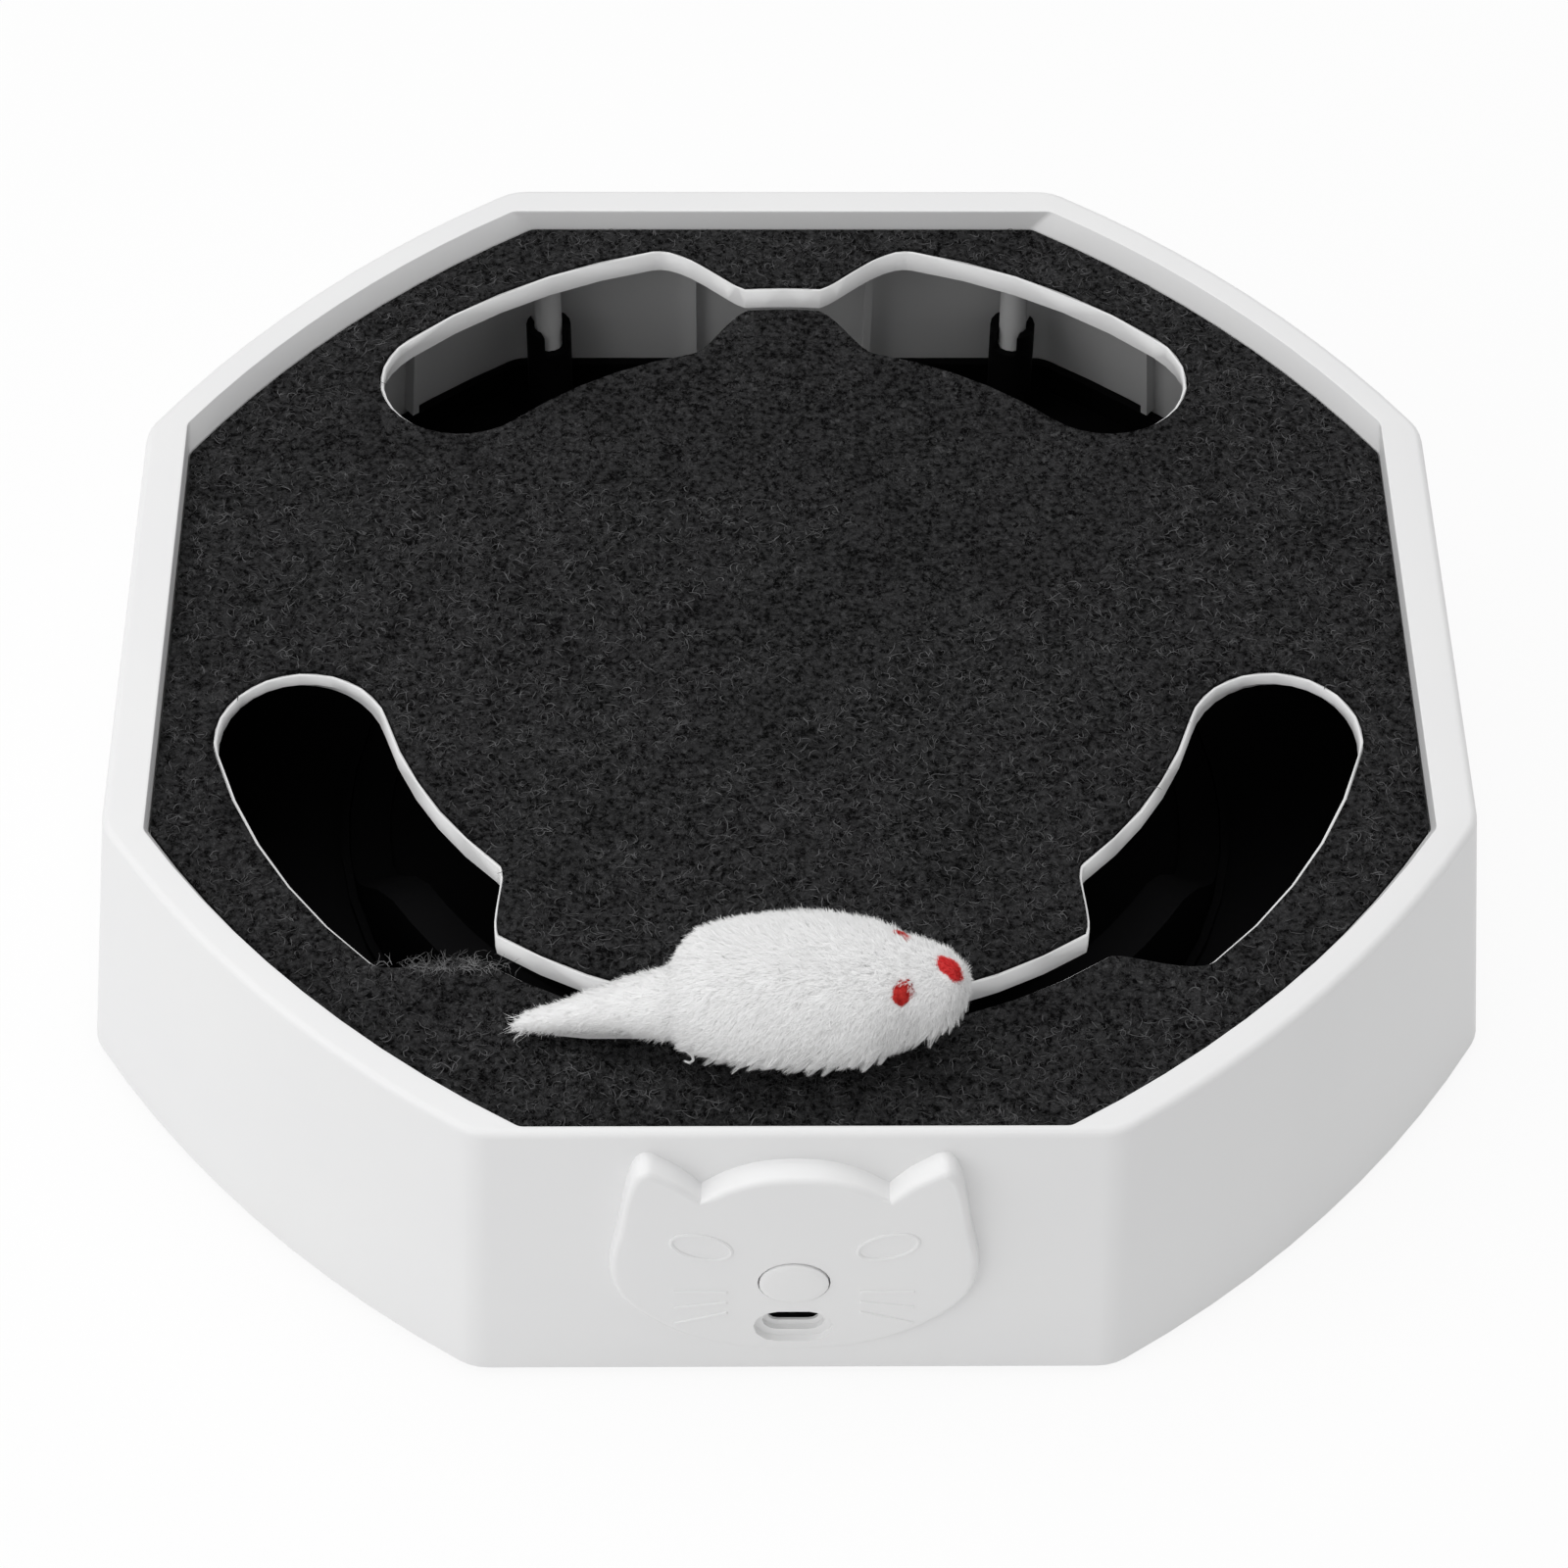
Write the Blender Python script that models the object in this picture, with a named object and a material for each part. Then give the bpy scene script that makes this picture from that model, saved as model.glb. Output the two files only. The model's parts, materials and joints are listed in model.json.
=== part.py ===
# Automatic mouse chase cat toy: a low octagonal box with a felt-covered deck, two pairs of openings
# joined by narrow slots, and a plush mouse that a hidden rotor carries round above them.
# Units are metres, +Z is up and -Y is the front. The origin lies on the floor, on the rotor's axis.

import math

import bmesh
import bpy
from mathutils import Matrix, Vector

MM = 0.001

# Running fits and cuts
GAP = 0.3 * MM
SHAFT_GAP = 0.1 * MM
OVERRUN = 1.0 * MM
TINY = 0.2 * MM

# Shell, in plan at the rim
SIDE_FLAT = 128.0 * MM
END_STEP = 2.5 * MM
SIDE_RUN = 50.0 * MM
ARC_SHIFT = 66.0 * MM
CORNER_RADIUS = 10.0 * MM
DRAFT = 7.0 * MM

# Shell, in height
FOOT_DROP = 2.0 * MM
SHELL_HEIGHT = 61.2 * MM
WALL = 2.6 * MM
RECESS_DEPTH = 4.8 * MM
FELT_THICK = 2.4 * MM
DECK_THICK = 2.5 * MM
RIM_ROUND = 1.4 * MM
RIM_INNER_ROUND = 0.5 * MM

# Recess for the felt, in plan
RIM_SIDE_WIDTH = 8.0 * MM
RIM_BACK_WIDTH = 7.0 * MM
RIM_FRONT_WIDTH = 2.0 * MM
RIM_ARC_WIDTH = 8.0 * MM
RECESS_LEAN = 1.9 * MM
RECESS_CORNER = 2.5 * MM
FELT_GAP = 0.4 * MM

# Openings in felt and deck
TRACK_INSET = 31.5 * MM
SLOT_HALF = 4.0 * MM
LOBE_HALF = 17.0 * MM
LEDGE = 0.9 * MM
COLLAR_DROP = 0.45 * MM
UNDERCUT = 3.0 * MM
FRONT_SLOT_DEG = 35.5
BACK_SLOT_DEG = 4.5
FRONT_FLARE_DEG = 7.5
BACK_FLARE_DEG = 9.5
LOBE_DEG = 38.5
FLARE_POWER = 1.3
FLARE_SHARES = (0, 0.1, 0.2, 0.32, 0.45, 0.58, 0.7, 0.82, 0.91, 1)
BACK_LOBE_SHIFT = 1.8 * MM
CAP_STEPS = 16

# Bosses and ribs under the deck
BOSS_RADIUS = 2.9 * MM
BOSS_END = 26.4 * MM
BOSS_END_INSET = 8.0 * MM
BOSS_SIDE_INSET = 7.5 * MM
PILOT_DEPTH = 10.0 * MM
RIB_THICK = 1.6 * MM
RIB_REACH = 3.0 * MM
RIB_ALONG = 19.0 * MM
RIB_ARC_DEG = 5.4

# Cat head on the front wall
HEAD_BOTTOM = 6.4 * MM
HEAD_BELOW_RIM = 6.2 * MM
HEAD_HALF_WIDTH = 33.3 * MM
HEAD_PROUD_TOP = 5.1 * MM
HEAD_PROUD_BOTTOM = 0.15 * MM
HEAD_ROUND = 1.3 * MM
EYE_ALONG = 16.7 * MM
EYE_HEIGHT_SHARE = 0.6245
EYE_HALF_LENGTH = 5.7 * MM
EYE_HALF_WIDTH = 3.3 * MM
EYE_TILT_DEG = 22.0
RIDGE_PROUD = 0.3 * MM
RIDGE_HALF = 0.4 * MM
WHISKER_INNER = 12.4 * MM
WHISKER_OUTER = 21.4 * MM
WHISKER_INNER_HEIGHT = 21.5 * MM
WHISKER_OUTER_HEIGHT = 20.0 * MM
WHISKER_INNER_STEP = 3.1 * MM
WHISKER_OUTER_STEP = 4.7 * MM

# Nose button
NOSE_ABOVE_PORT = 3.1 * MM
NOSE_HALF_WIDTH = 6.3 * MM
NOSE_HALF_HEIGHT = 5.6 * MM
NOSE_PROUD = 0.3 * MM
NOSE_DOME = 0.39 * MM
NOSE_FLANGE = 1.3 * MM
NOSE_FLANGE_THICK = 1.2 * MM
NOSE_TRAVEL = 0.6 * MM

# Charging port
PORT_CLEAR = 0.5 * MM
PORT_HALF_WIDTH = 7.3 * MM
PORT_HALF_HEIGHT = 4.5 * MM
PORT_STEP_DEPTH = 1.3 * MM
PORT_DEPTH = 2.8 * MM
PORT_INNER_HALF_WIDTH = 5.7 * MM
PORT_INNER_HALF_HEIGHT = 2.9 * MM
SOCKET_HALF_WIDTH = 4.47 * MM
SOCKET_HALF_HEIGHT = 1.6 * MM
SOCKET_LENGTH = 7.3 * MM
SOCKET_WALL = 0.35 * MM
TONGUE_HALF_WIDTH = 3.35 * MM
TONGUE_HALF_HEIGHT = 0.35 * MM

# Circuit board
BOARD_HALF_WIDTH = 22.0 * MM
BOARD_BOTTOM = 8.5 * MM
BOARD_TOP = 38.5 * MM
BOARD_THICK = 1.6 * MM
BOARD_SCREW_ALONG = 17.5 * MM
BOARD_SCREW_HEIGHT = 34.0 * MM
BOARD_POST_RADIUS = 2.8 * MM
SWITCH_HALF = 3.0 * MM
SWITCH_BODY = 3.0 * MM
PLUNGER_RADIUS = 1.7 * MM
PLUNGER_DEPTH = 1.2 * MM

# Small screws
SMALL_SHANK_RADIUS = 1.0 * MM
SMALL_SHANK = 5.0 * MM
SMALL_HEAD_RADIUS = 2.0 * MM
SMALL_HEAD = 1.5 * MM

# Case screws
SCREW_SHANK_RADIUS = 1.3 * MM
SCREW_SHANK = 14.0 * MM
SCREW_HEAD_RADIUS = 2.8 * MM
SCREW_HEAD = 2.0 * MM
SCREW_SEAT = 20.0 * MM
SCREW_SLOT = 0.7 * MM

# Base tray
TRAY_GAP = 0.4 * MM
TRAY_FLOOR = 2.4 * MM
TRAY_WALL = 2.0 * MM
TRAY_LIP = 10.0 * MM
EAR_WALL = 1.6 * MM
EAR_TOP = 32.0 * MM
EAR_CHANNEL = 5.0 * MM
LOCATOR_WALL = 1.6 * MM
LOCATOR_HEIGHT = 2.2 * MM

# Feet
FOOT_RADIUS = 6.0 * MM
FOOT_INSET = 50.0 * MM
FOOT_CHAMFER = 0.5 * MM

# Cam track
CAM_INSET = 8.5 * MM
CAM_WIDTH = 8.0 * MM
CAM_LOW = 5.6 * MM
CAM_FRONT_DEG = 58.0
CAM_FALL_DEG = 24.0
CAM_BACK_DEG = 24.0
CAM_STEPS = 72

# Spindle, bush and rotor
SPINDLE_RADIUS = 2.5 * MM
SPINDLE_PROUD = 0.8 * MM
SPINDLE_BOSS_RADIUS = 7.0 * MM
SPINDLE_BOSS_TOP = 10.4 * MM
SPINDLE_SEAT = 3.4 * MM
WASHER_RADIUS = 6.0 * MM
WASHER_THICK = 0.6 * MM
BUSH_WALL = 1.4 * MM
CLIP_RADIUS = 4.6 * MM
CLIP_THICK = 0.8 * MM
NECK_RADIUS = 9.0 * MM
ROTOR_DISC_RADIUS = 24.0 * MM
ROTOR_DISC_THICK = 3.0 * MM
ROTOR_HUB_RADIUS = 7.5 * MM
HUB_SHARE = 0.25
PIVOT_BACK = 16.0 * MM
PIVOT_DROP = 13.2 * MM
ROLLER_DROP = 1.5 * MM
CHEEK_INNER = 6.6 * MM
CHEEK_THICK = 3.0 * MM
CHEEK_HALF = 4.2 * MM

# Gears
MOTOR_ROOM = 15.0 * MM
GEAR_THICK = 5.5 * MM
ROTOR_TEETH = 48
PINION_TEETH = 12
IDLER_TEETH = 32
TOOTH_SHARE = 0.43
ADDENDUM_SHARE = 0.8
DEDENDUM_SHARE = 1.15
PRESSURE_DEG = 25.0

# Idler and motor
IDLER_AXLE_RADIUS = 1.5 * MM
IDLER_BOSS_RADIUS = 4.0 * MM
IDLER_BOSS_TOP = 6.4 * MM
IDLER_GEAR_THICK = 4.0 * MM
MOTOR_HALF_WIDTH = 6.0 * MM
MOTOR_HALF_DEPTH = 5.0 * MM
GEARBOX_HEIGHT = 9.0 * MM
CAN_HEIGHT = 11.5 * MM
MOTOR_SHAFT_RADIUS = 1.5 * MM
BRACKET_WALL = 1.8 * MM
BRACKET_BASE = 1.4 * MM
BRACKET_POCKET = 7.0 * MM
BRACKET_EAR = 2.4 * MM
BRACKET_SCREW_ALONG = 12.8 * MM
PILLAR_RADIUS = 3.2 * MM

# Arm, roller and stem
ARM_HALF_WIDTH = 5.0 * MM
ARM_HALF_HEIGHT = 3.4 * MM
ARM_EYE_RADIUS = 4.4 * MM
ARM_PIN_RADIUS = 1.5 * MM
PIN_HEAD_RADIUS = 2.6 * MM
PIN_HEAD = 1.0 * MM
ROLLER_RADIUS = 7.0 * MM
ROLLER_THICK = 7.0 * MM
ROLLER_AXLE_RADIUS = 1.25 * MM
FRAME_WALL = 2.4 * MM
FRAME_PLAY = 0.8 * MM
STEM_RADIUS = 1.5 * MM
STEM_SOCKET_RADIUS = 3.6 * MM
STEM_SEAT = 5.0 * MM

# Battery and leads
BATTERY_SIDE_ROOM = 15.0 * MM
BATTERY_FRONT_ROOM = 7.6 * MM
BATTERY_BACK_ROOM = 4.9 * MM
BATTERY_HEIGHT = 8.5 * MM
LEAD_RADIUS = 0.8 * MM
LEAD_BEND = 3.0 * MM
TUNNEL_ALONG = 12.0 * MM
TUNNEL_HALF = 2.0 * MM
TUNNEL_HEIGHT = 4.0 * MM

# Mouse
MOUSE_SHIFT = 3.5 * MM
CARRIER_FLOAT = 0.9 * MM
CARRIER_THICK = 1.6 * MM
CARRIER_HALF_WIDTH = 3.0 * MM
CARRIER_BACK = 43.0 * MM
CARRIER_FRONT = 26.0 * MM
CARRIER_BACK_TIP_SHARE = 0.75
CARRIER_FRONT_TIP_SHARE = 0.4
MOUSE_HALF_WIDTH = 14.5 * MM
MOUSE_HALF_HEIGHT = 10.2 * MM
MOUSE_CLEAR = 1.8 * MM
BODY_BACK = 22.5 * MM
BODY_FRONT = 18.0 * MM
HEAD_TIP = 30.6 * MM
HEAD_START = 13.0 * MM
TAIL_START = 17.0 * MM
TAIL_TIP = 51.0 * MM
MOUSE_EYE_HALF = 2.3 * MM
EYE_ALONG_SHARE = 0.4
EYE_SIDE_SHARE = 0.455
EYE_UP_SHARE = 0.48
MOUSE_NOSE_HALF_WIDTH = 3.1 * MM
MOUSE_NOSE_HALF_HEIGHT = 2.5 * MM
MOUSE_NOSE_INSET = 0.8 * MM
NOSE_UP_SHARE = 0.265

# Counts
ARC_STEPS = 10
FILLET_STEPS = 3
ROUND_STEPS = 24
SMALL_STEPS = 16

# Plan, from the sizes above
END_FLAT = SIDE_FLAT - END_STEP
ARC_RADIUS = CORNER_RADIUS + math.hypot(SIDE_FLAT - CORNER_RADIUS + ARC_SHIFT, SIDE_RUN + ARC_SHIFT)
RECESS_SIDE = SIDE_FLAT - RIM_SIDE_WIDTH
RECESS_BACK = END_FLAT - RIM_BACK_WIDTH
RECESS_FRONT = END_FLAT - RIM_FRONT_WIDTH
RECESS_ARC = ARC_RADIUS - RIM_ARC_WIDTH
TRACK_RADIUS = SIDE_FLAT - TRACK_INSET
FOOT_ALONG = SIDE_FLAT - FOOT_INSET
CAM_OUTER = TRACK_RADIUS - CAM_INSET
CAM_INNER = CAM_OUTER - CAM_WIDTH
CAM_MIDDLE = (CAM_INNER + CAM_OUTER) / 2
GEAR_MODULE = (CAM_INNER - MOTOR_ROOM) * 2 / (ROTOR_TEETH + 2 * PINION_TEETH + IDLER_TEETH)
IDLER_BACK = GEAR_MODULE * (ROTOR_TEETH + PINION_TEETH) / 2
MOTOR_BACK = IDLER_BACK + GEAR_MODULE * (IDLER_TEETH + PINION_TEETH) / 2
LEAD_SIDE = CAM_INNER / 2
BATTERY_HALF_WIDTH = LEAD_SIDE - BATTERY_SIDE_ROOM
BATTERY_FRONT = math.sqrt((CAM_INNER - BATTERY_FRONT_ROOM) ** 2 - BATTERY_HALF_WIDTH**2)
BATTERY_BACK = GEAR_MODULE * (ROTOR_TEETH / 2 + 1) + BATTERY_BACK_ROOM
MOUSE_Y = -(TRACK_RADIUS + MOUSE_SHIFT)

# Heights, from the sizes above
RIM_TOP = FOOT_DROP + SHELL_HEIGHT
FELT_TOP = RIM_TOP - RECESS_DEPTH
DECK_TOP = FELT_TOP - FELT_THICK - GAP
DECK_UNDER = DECK_TOP - DECK_THICK
HEAD_HEIGHT = RIM_TOP - HEAD_BELOW_RIM - HEAD_BOTTOM
EYE_HEIGHT = HEAD_BOTTOM + HEAD_HEIGHT * EYE_HEIGHT_SHARE
FLOOR_TOP = FOOT_DROP + TRAY_FLOOR
TRAY_TOP = FOOT_DROP + TRAY_LIP
PORT_HEIGHT = TRAY_TOP + PORT_CLEAR + SOCKET_HALF_HEIGHT
NOSE_HEIGHT = PORT_HEIGHT + PORT_HALF_HEIGHT + NOSE_ABOVE_PORT + NOSE_HALF_HEIGHT
ROTOR_BOTTOM = SPINDLE_BOSS_TOP + WASHER_THICK + 2 * GAP
DISC_BOTTOM = ROTOR_BOTTOM + GEAR_THICK + GAP
DISC_TOP = DISC_BOTTOM + ROTOR_DISC_THICK
IDLER_BOTTOM = IDLER_BOSS_TOP + GAP
IDLER_STEP = ROTOR_BOTTOM - GAP
BRACKET_BOTTOM = IDLER_STEP + 2 * GAP
PIVOT_HEIGHT = DECK_UNDER - PIVOT_DROP
ROTOR_HUB_TOP = DISC_TOP + (PIVOT_HEIGHT - DISC_TOP) * HUB_SHARE
SPINDLE_TOP = ROTOR_HUB_TOP + GAP + CLIP_THICK + SPINDLE_PROUD
ROLLER_HEIGHT = PIVOT_HEIGHT - ROLLER_DROP
CAM_TOP = ROLLER_HEIGHT - ROLLER_RADIUS - GAP
CARRIER_BOTTOM = FELT_TOP + CARRIER_FLOAT
CARRIER_TOP = CARRIER_BOTTOM + CARRIER_THICK
MOUSE_Z = FELT_TOP + MOUSE_CLEAR + MOUSE_HALF_HEIGHT

# Materials: colour, roughness, metallic
FINISHES = {
    "white_plastic": ((0.86, 0.86, 0.86), 0.38, 0.0),
    "black_plastic": ((0.012, 0.012, 0.013), 0.45, 0.0),
    "felt": ((0.045, 0.045, 0.048), 0.95, 0.0),
    "plush": ((0.88, 0.88, 0.88), 0.9, 0.0),
    "red_felt": ((0.72, 0.03, 0.03), 0.7, 0.0),
    "steel": ((0.6, 0.6, 0.62), 0.3, 1.0),
    "brass": ((0.72, 0.55, 0.25), 0.3, 1.0),
    "gear_plastic": ((0.8, 0.79, 0.74), 0.5, 0.0),
    "board_green": ((0.03, 0.16, 0.06), 0.5, 0.0),
    "battery_wrap": ((0.05, 0.12, 0.3), 0.45, 0.0),
    "rubber": ((0.03, 0.03, 0.03), 0.8, 0.0),
}


def clear_scene():
    for obj in list(bpy.data.objects):
        bpy.data.objects.remove(obj, do_unlink=True)


def material(name):
    found = bpy.data.materials.get(name)
    if found:
        return found
    colour, roughness, metallic = FINISHES[name]
    made = bpy.data.materials.new(name)
    made.use_nodes = True
    shader = made.node_tree.nodes["Principled BSDF"]
    shader.inputs["Base Color"].default_value = (*colour, 1.0)
    shader.inputs["Roughness"].default_value = roughness
    shader.inputs["Metallic"].default_value = metallic
    return made


def add_object(name, bm, finish, origin=(0, 0, 0), smooth_deg=30):
    """Makes an object of a bmesh given in world places, with its own origin."""
    shift = Vector(origin)
    for vert in bm.verts:
        vert.co -= shift
    mesh = bpy.data.meshes.new(name)
    bm.to_mesh(mesh)
    bm.free()
    mesh.shade_smooth()
    mesh.set_sharp_from_angle(angle=math.radians(smooth_deg))
    mesh.materials.append(material(finish))
    obj = bpy.data.objects.new(name, mesh)
    obj.location = shift
    bpy.context.scene.collection.objects.link(obj)
    return obj


def add_cutter(name, bm):
    obj = add_object(name, bm, "white_plastic")
    obj.hide_render = True
    obj.display_type = "WIRE"
    return obj


def boolean(obj, cutter, operation="DIFFERENCE"):
    modifier = obj.modifiers.new(f"{operation.lower()} {cutter.name}", "BOOLEAN")
    modifier.operation = operation
    modifier.solver = "EXACT"
    modifier.object = cutter


def loft(bm, loops, closed=False):
    """Joins loops of equal length into a solid, capped at both ends or closed on itself."""
    rings = [[bm.verts.new(point) for point in loop] for loop in loops]
    pairs = list(zip(rings, rings[1:]))
    if closed:
        pairs.append((rings[-1], rings[0]))
    for lower, upper in pairs:
        count = len(lower)
        for i in range(count):
            j = (i + 1) % count
            bm.faces.new((lower[i], lower[j], upper[j], upper[i]))
    if not closed:
        bm.faces.new(rings[0][::-1])
        bm.faces.new(rings[-1])
    if bm.calc_volume(signed=True) < 0:
        bmesh.ops.reverse_faces(bm, faces=bm.faces)
    return bm


def lathe(bm, profile, steps=ROUND_STEPS, centre=(0, 0), axis="Z"):
    """Turns a closed ring of (radius, height) points, or one that starts and ends on the axis."""
    turned = []
    for radius, height in profile:
        if radius > 0:
            turned.append(
                [
                    (radius * math.cos(a), radius * math.sin(a), height)
                    for a in (math.tau * i / steps for i in range(steps))
                ]
            )
    on_axis = profile[0][0] == 0
    part = bmesh.new()
    loft(part, turned, closed=not on_axis)
    if axis == "Y":
        part.transform(Matrix.Rotation(math.radians(90), 4, "X"))
    elif axis == "X":
        part.transform(Matrix.Rotation(math.radians(90), 4, "Y"))
    place = centre if len(centre) == 3 else (*centre, 0)
    part.transform(Matrix.Translation(place))
    merge(bm, part)
    return bm


def merge(bm, part):
    """Adds a copy of one bmesh to another, as a separate body."""
    mesh = bpy.data.meshes.new("merge")
    part.to_mesh(mesh)
    part.free()
    bm.from_mesh(mesh)
    bpy.data.meshes.remove(mesh)


def box(bm, low, high):
    corners = [(low[0], low[1]), (high[0], low[1]), (high[0], high[1]), (low[0], high[1])]
    part = bmesh.new()
    loft(part, [[(x, y, z) for x, y in corners] for z in (low[2], high[2])])
    merge(bm, part)
    return bm


def arc_points(centre, radius, start, end, steps):
    return [
        (centre[0] + radius * math.cos(a), centre[1] + radius * math.sin(a))
        for a in (start + (end - start) * i / steps for i in range(steps + 1))
    ]


def octagon(side, back, front, arc, corner):
    """The plan: flat sides and ends, and four bowed sides about centres beyond the middle."""
    inner_arc = arc - corner
    points = []
    for turn in range(4):
        sx = 1 if turn in (0, 3) else -1
        sy = 1 if turn in (0, 1) else -1
        end = back if sy > 0 else front
        reach = side - corner + ARC_SHIFT
        side_corner = (side - corner, math.sqrt(inner_arc**2 - reach**2) - ARC_SHIFT)
        rise = end - corner + ARC_SHIFT
        end_corner = (math.sqrt(inner_arc**2 - rise**2) - ARC_SHIFT, end - corner)
        low = math.atan2(side_corner[1] + ARC_SHIFT, side_corner[0] + ARC_SHIFT)
        high = math.atan2(end_corner[1] + ARC_SHIFT, end_corner[0] + ARC_SHIFT)
        quarter = arc_points(side_corner, corner, 0, low, FILLET_STEPS)
        quarter += arc_points((-ARC_SHIFT, -ARC_SHIFT), arc, low, high, ARC_STEPS)[1:-1]
        quarter += arc_points(end_corner, corner, high, math.pi / 2, FILLET_STEPS)
        if sx * sy < 0:
            quarter.reverse()
        points += [(sx * x, sy * y) for x, y in quarter]
    return points


def draft_at(z):
    """How far the drafted wall stands outside the rim's outline at height z."""
    return DRAFT * (RIM_TOP - z) / SHELL_HEIGHT


def wall_outline(inset, z):
    """The shell's outer outline at a height, moved inwards by an inset."""
    grow = draft_at(z) - inset
    corner = CORNER_RADIUS - inset
    points = octagon(SIDE_FLAT + grow, END_FLAT + grow, END_FLAT + grow, ARC_RADIUS + grow, corner)
    return [(x, y, z) for x, y in points]


def recess_outline(grow, z, lean=0):
    """The recess for the felt at a height; its bowed walls lean outwards towards the rim."""
    points = octagon(
        RECESS_SIDE + grow,
        RECESS_BACK + grow,
        RECESS_FRONT + grow,
        RECESS_ARC + grow + lean,
        RECESS_CORNER + grow,
    )
    return [(x, y, z) for x, y in points]


def opening_outline(opening, inset, undercut, z):
    """Two lobes joined by a narrow slot along the mouse's circle, as one closed outline."""
    slot_deg, flare_deg, facing_deg, shift = opening
    slot_steps = max(2, round(slot_deg / 6))
    stations = [(slot_deg * i / slot_steps, SLOT_HALF - inset, 0) for i in range(slot_steps)]
    for share in FLARE_SHARES:
        open_share = math.sin(math.pi / 2 * share**FLARE_POWER)
        wide = (LOBE_HALF - SLOT_HALF) * open_share
        stations.append((slot_deg + flare_deg * share, SLOT_HALF + wide - inset, shift * open_share))
    cap_deg = slot_deg + LOBE_DEG
    body_steps = 5
    first = slot_deg + flare_deg
    for i in range(1, body_steps):
        stations.append((first + (cap_deg - first) * i / body_steps, LOBE_HALF - inset, shift))
    cap_half = LOBE_HALF - inset

    def place(deg, radius, back, side):
        angle = math.radians(facing_deg + side * deg)
        return (radius * math.cos(angle), radius * math.sin(angle) + back, z)

    def cap(side):
        centre = math.radians(facing_deg + side * cap_deg)
        middle = (TRACK_RADIUS * math.cos(centre), TRACK_RADIUS * math.sin(centre) + shift)
        found = []
        for i in range(CAP_STEPS + 1):
            swing = math.pi * i / CAP_STEPS
            out = cap_half * math.cos(swing)
            along = (cap_half + undercut) * math.sin(swing)
            found.append(
                (
                    middle[0] + out * math.cos(centre) - side * along * math.sin(centre),
                    middle[1] + out * math.sin(centre) + side * along * math.cos(centre),
                    z,
                )
            )
        return found

    outer_left = [place(d, TRACK_RADIUS + w, back, 1) for d, w, back in stations]
    inner_left = [place(d, TRACK_RADIUS - w, back, 1) for d, w, back in stations]
    outer_right = [place(d, TRACK_RADIUS + w, back, -1) for d, w, back in stations[1:]]
    inner_right = [place(d, TRACK_RADIUS - w, back, -1) for d, w, back in stations[1:]]
    loop = outer_left + cap(1) + inner_left[::-1]
    loop += inner_right + cap(-1)[::-1] + outer_right[::-1]
    return loop


def openings_cutter(name, inset, low, bend, high, undercut):
    """Both openings as one cutter; below the bend their far ends slope away."""
    front = (FRONT_SLOT_DEG, FRONT_FLARE_DEG, -90, 0)
    back = (BACK_SLOT_DEG, BACK_FLARE_DEG, 90, BACK_LOBE_SHIFT)
    bm = bmesh.new()
    for opening in (front, back):
        part = bmesh.new()
        levels = [(high, 0), (bend, 0), (low, undercut)]
        loft(part, [opening_outline(opening, inset, u, z) for z, u in levels])
        merge(bm, part)
    return add_cutter(name, bm)


def corner_places():
    """The eight corners of the plan where a boss meets a cradle, with the way out from the middle."""
    end = END_FLAT - BOSS_END_INSET
    side = SIDE_FLAT - BOSS_SIDE_INSET
    places = []
    for sx in (-1, 1):
        for sy in (-1, 1):
            places.append((sx * SIDE_RUN, sy * end))
            places.append((sx * side, sy * SIDE_RUN))
    return places


def wall_rib(bm, centre, out_deg, base):
    """A thin rib on the inside of the wall, which follows the wall's draft up to the deck."""
    out = Vector((math.cos(math.radians(out_deg)), math.sin(math.radians(out_deg)), 0))
    across = Vector((-out.y, out.x, 0)) * (RIB_THICK / 2)
    loops = []
    for z in (TRAY_TOP + OVERRUN, DECK_UNDER + OVERRUN):
        face = base + draft_at(z) - WALL
        near = Vector((*centre, z)) + out * (face - RIB_REACH)
        far = Vector((*centre, z)) + out * (face + WALL / 2)
        loops.append([near - across, far - across, far + across, near + across])
    part = bmesh.new()
    loft(part, loops)
    merge(bm, part)


def wall_ribs():
    bm = bmesh.new()
    for along in (-RIB_ALONG, RIB_ALONG):
        wall_rib(bm, (along, 0), 90, END_FLAT)
        wall_rib(bm, (0, along), 0, SIDE_FLAT)
        wall_rib(bm, (0, along), 180, SIDE_FLAT)
    for quarter in range(4):
        middle = 45 + 90 * quarter
        angle = math.radians(middle)
        centre = (-math.sqrt(2) * ARC_SHIFT * math.cos(angle), -math.sqrt(2) * ARC_SHIFT * math.sin(angle))
        for swing in (-RIB_ARC_DEG, RIB_ARC_DEG):
            wall_rib(bm, centre, middle + swing, ARC_RADIUS)
    return bm


def shell_bosses():
    bm = bmesh.new()
    for place in corner_places():
        profile = [(0, BOSS_END), (BOSS_RADIUS, BOSS_END)]
        profile += [(BOSS_RADIUS, DECK_UNDER + OVERRUN), (0, DECK_UNDER + OVERRUN)]
        lathe(bm, profile, SMALL_STEPS, place)
    for side in (-1, 1):
        wall_inner = END_FLAT + draft_at(BOARD_SCREW_HEIGHT) - WALL
        profile = [(0, -board_front() + GAP), (BOARD_POST_RADIUS, -board_front() + GAP)]
        profile += [(BOARD_POST_RADIUS, wall_inner + OVERRUN), (0, wall_inner + OVERRUN)]
        place = (side * BOARD_SCREW_ALONG, 0, BOARD_SCREW_HEIGHT)
        lathe(bm, profile, SMALL_STEPS, place, axis="Y")
    return bm


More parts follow.
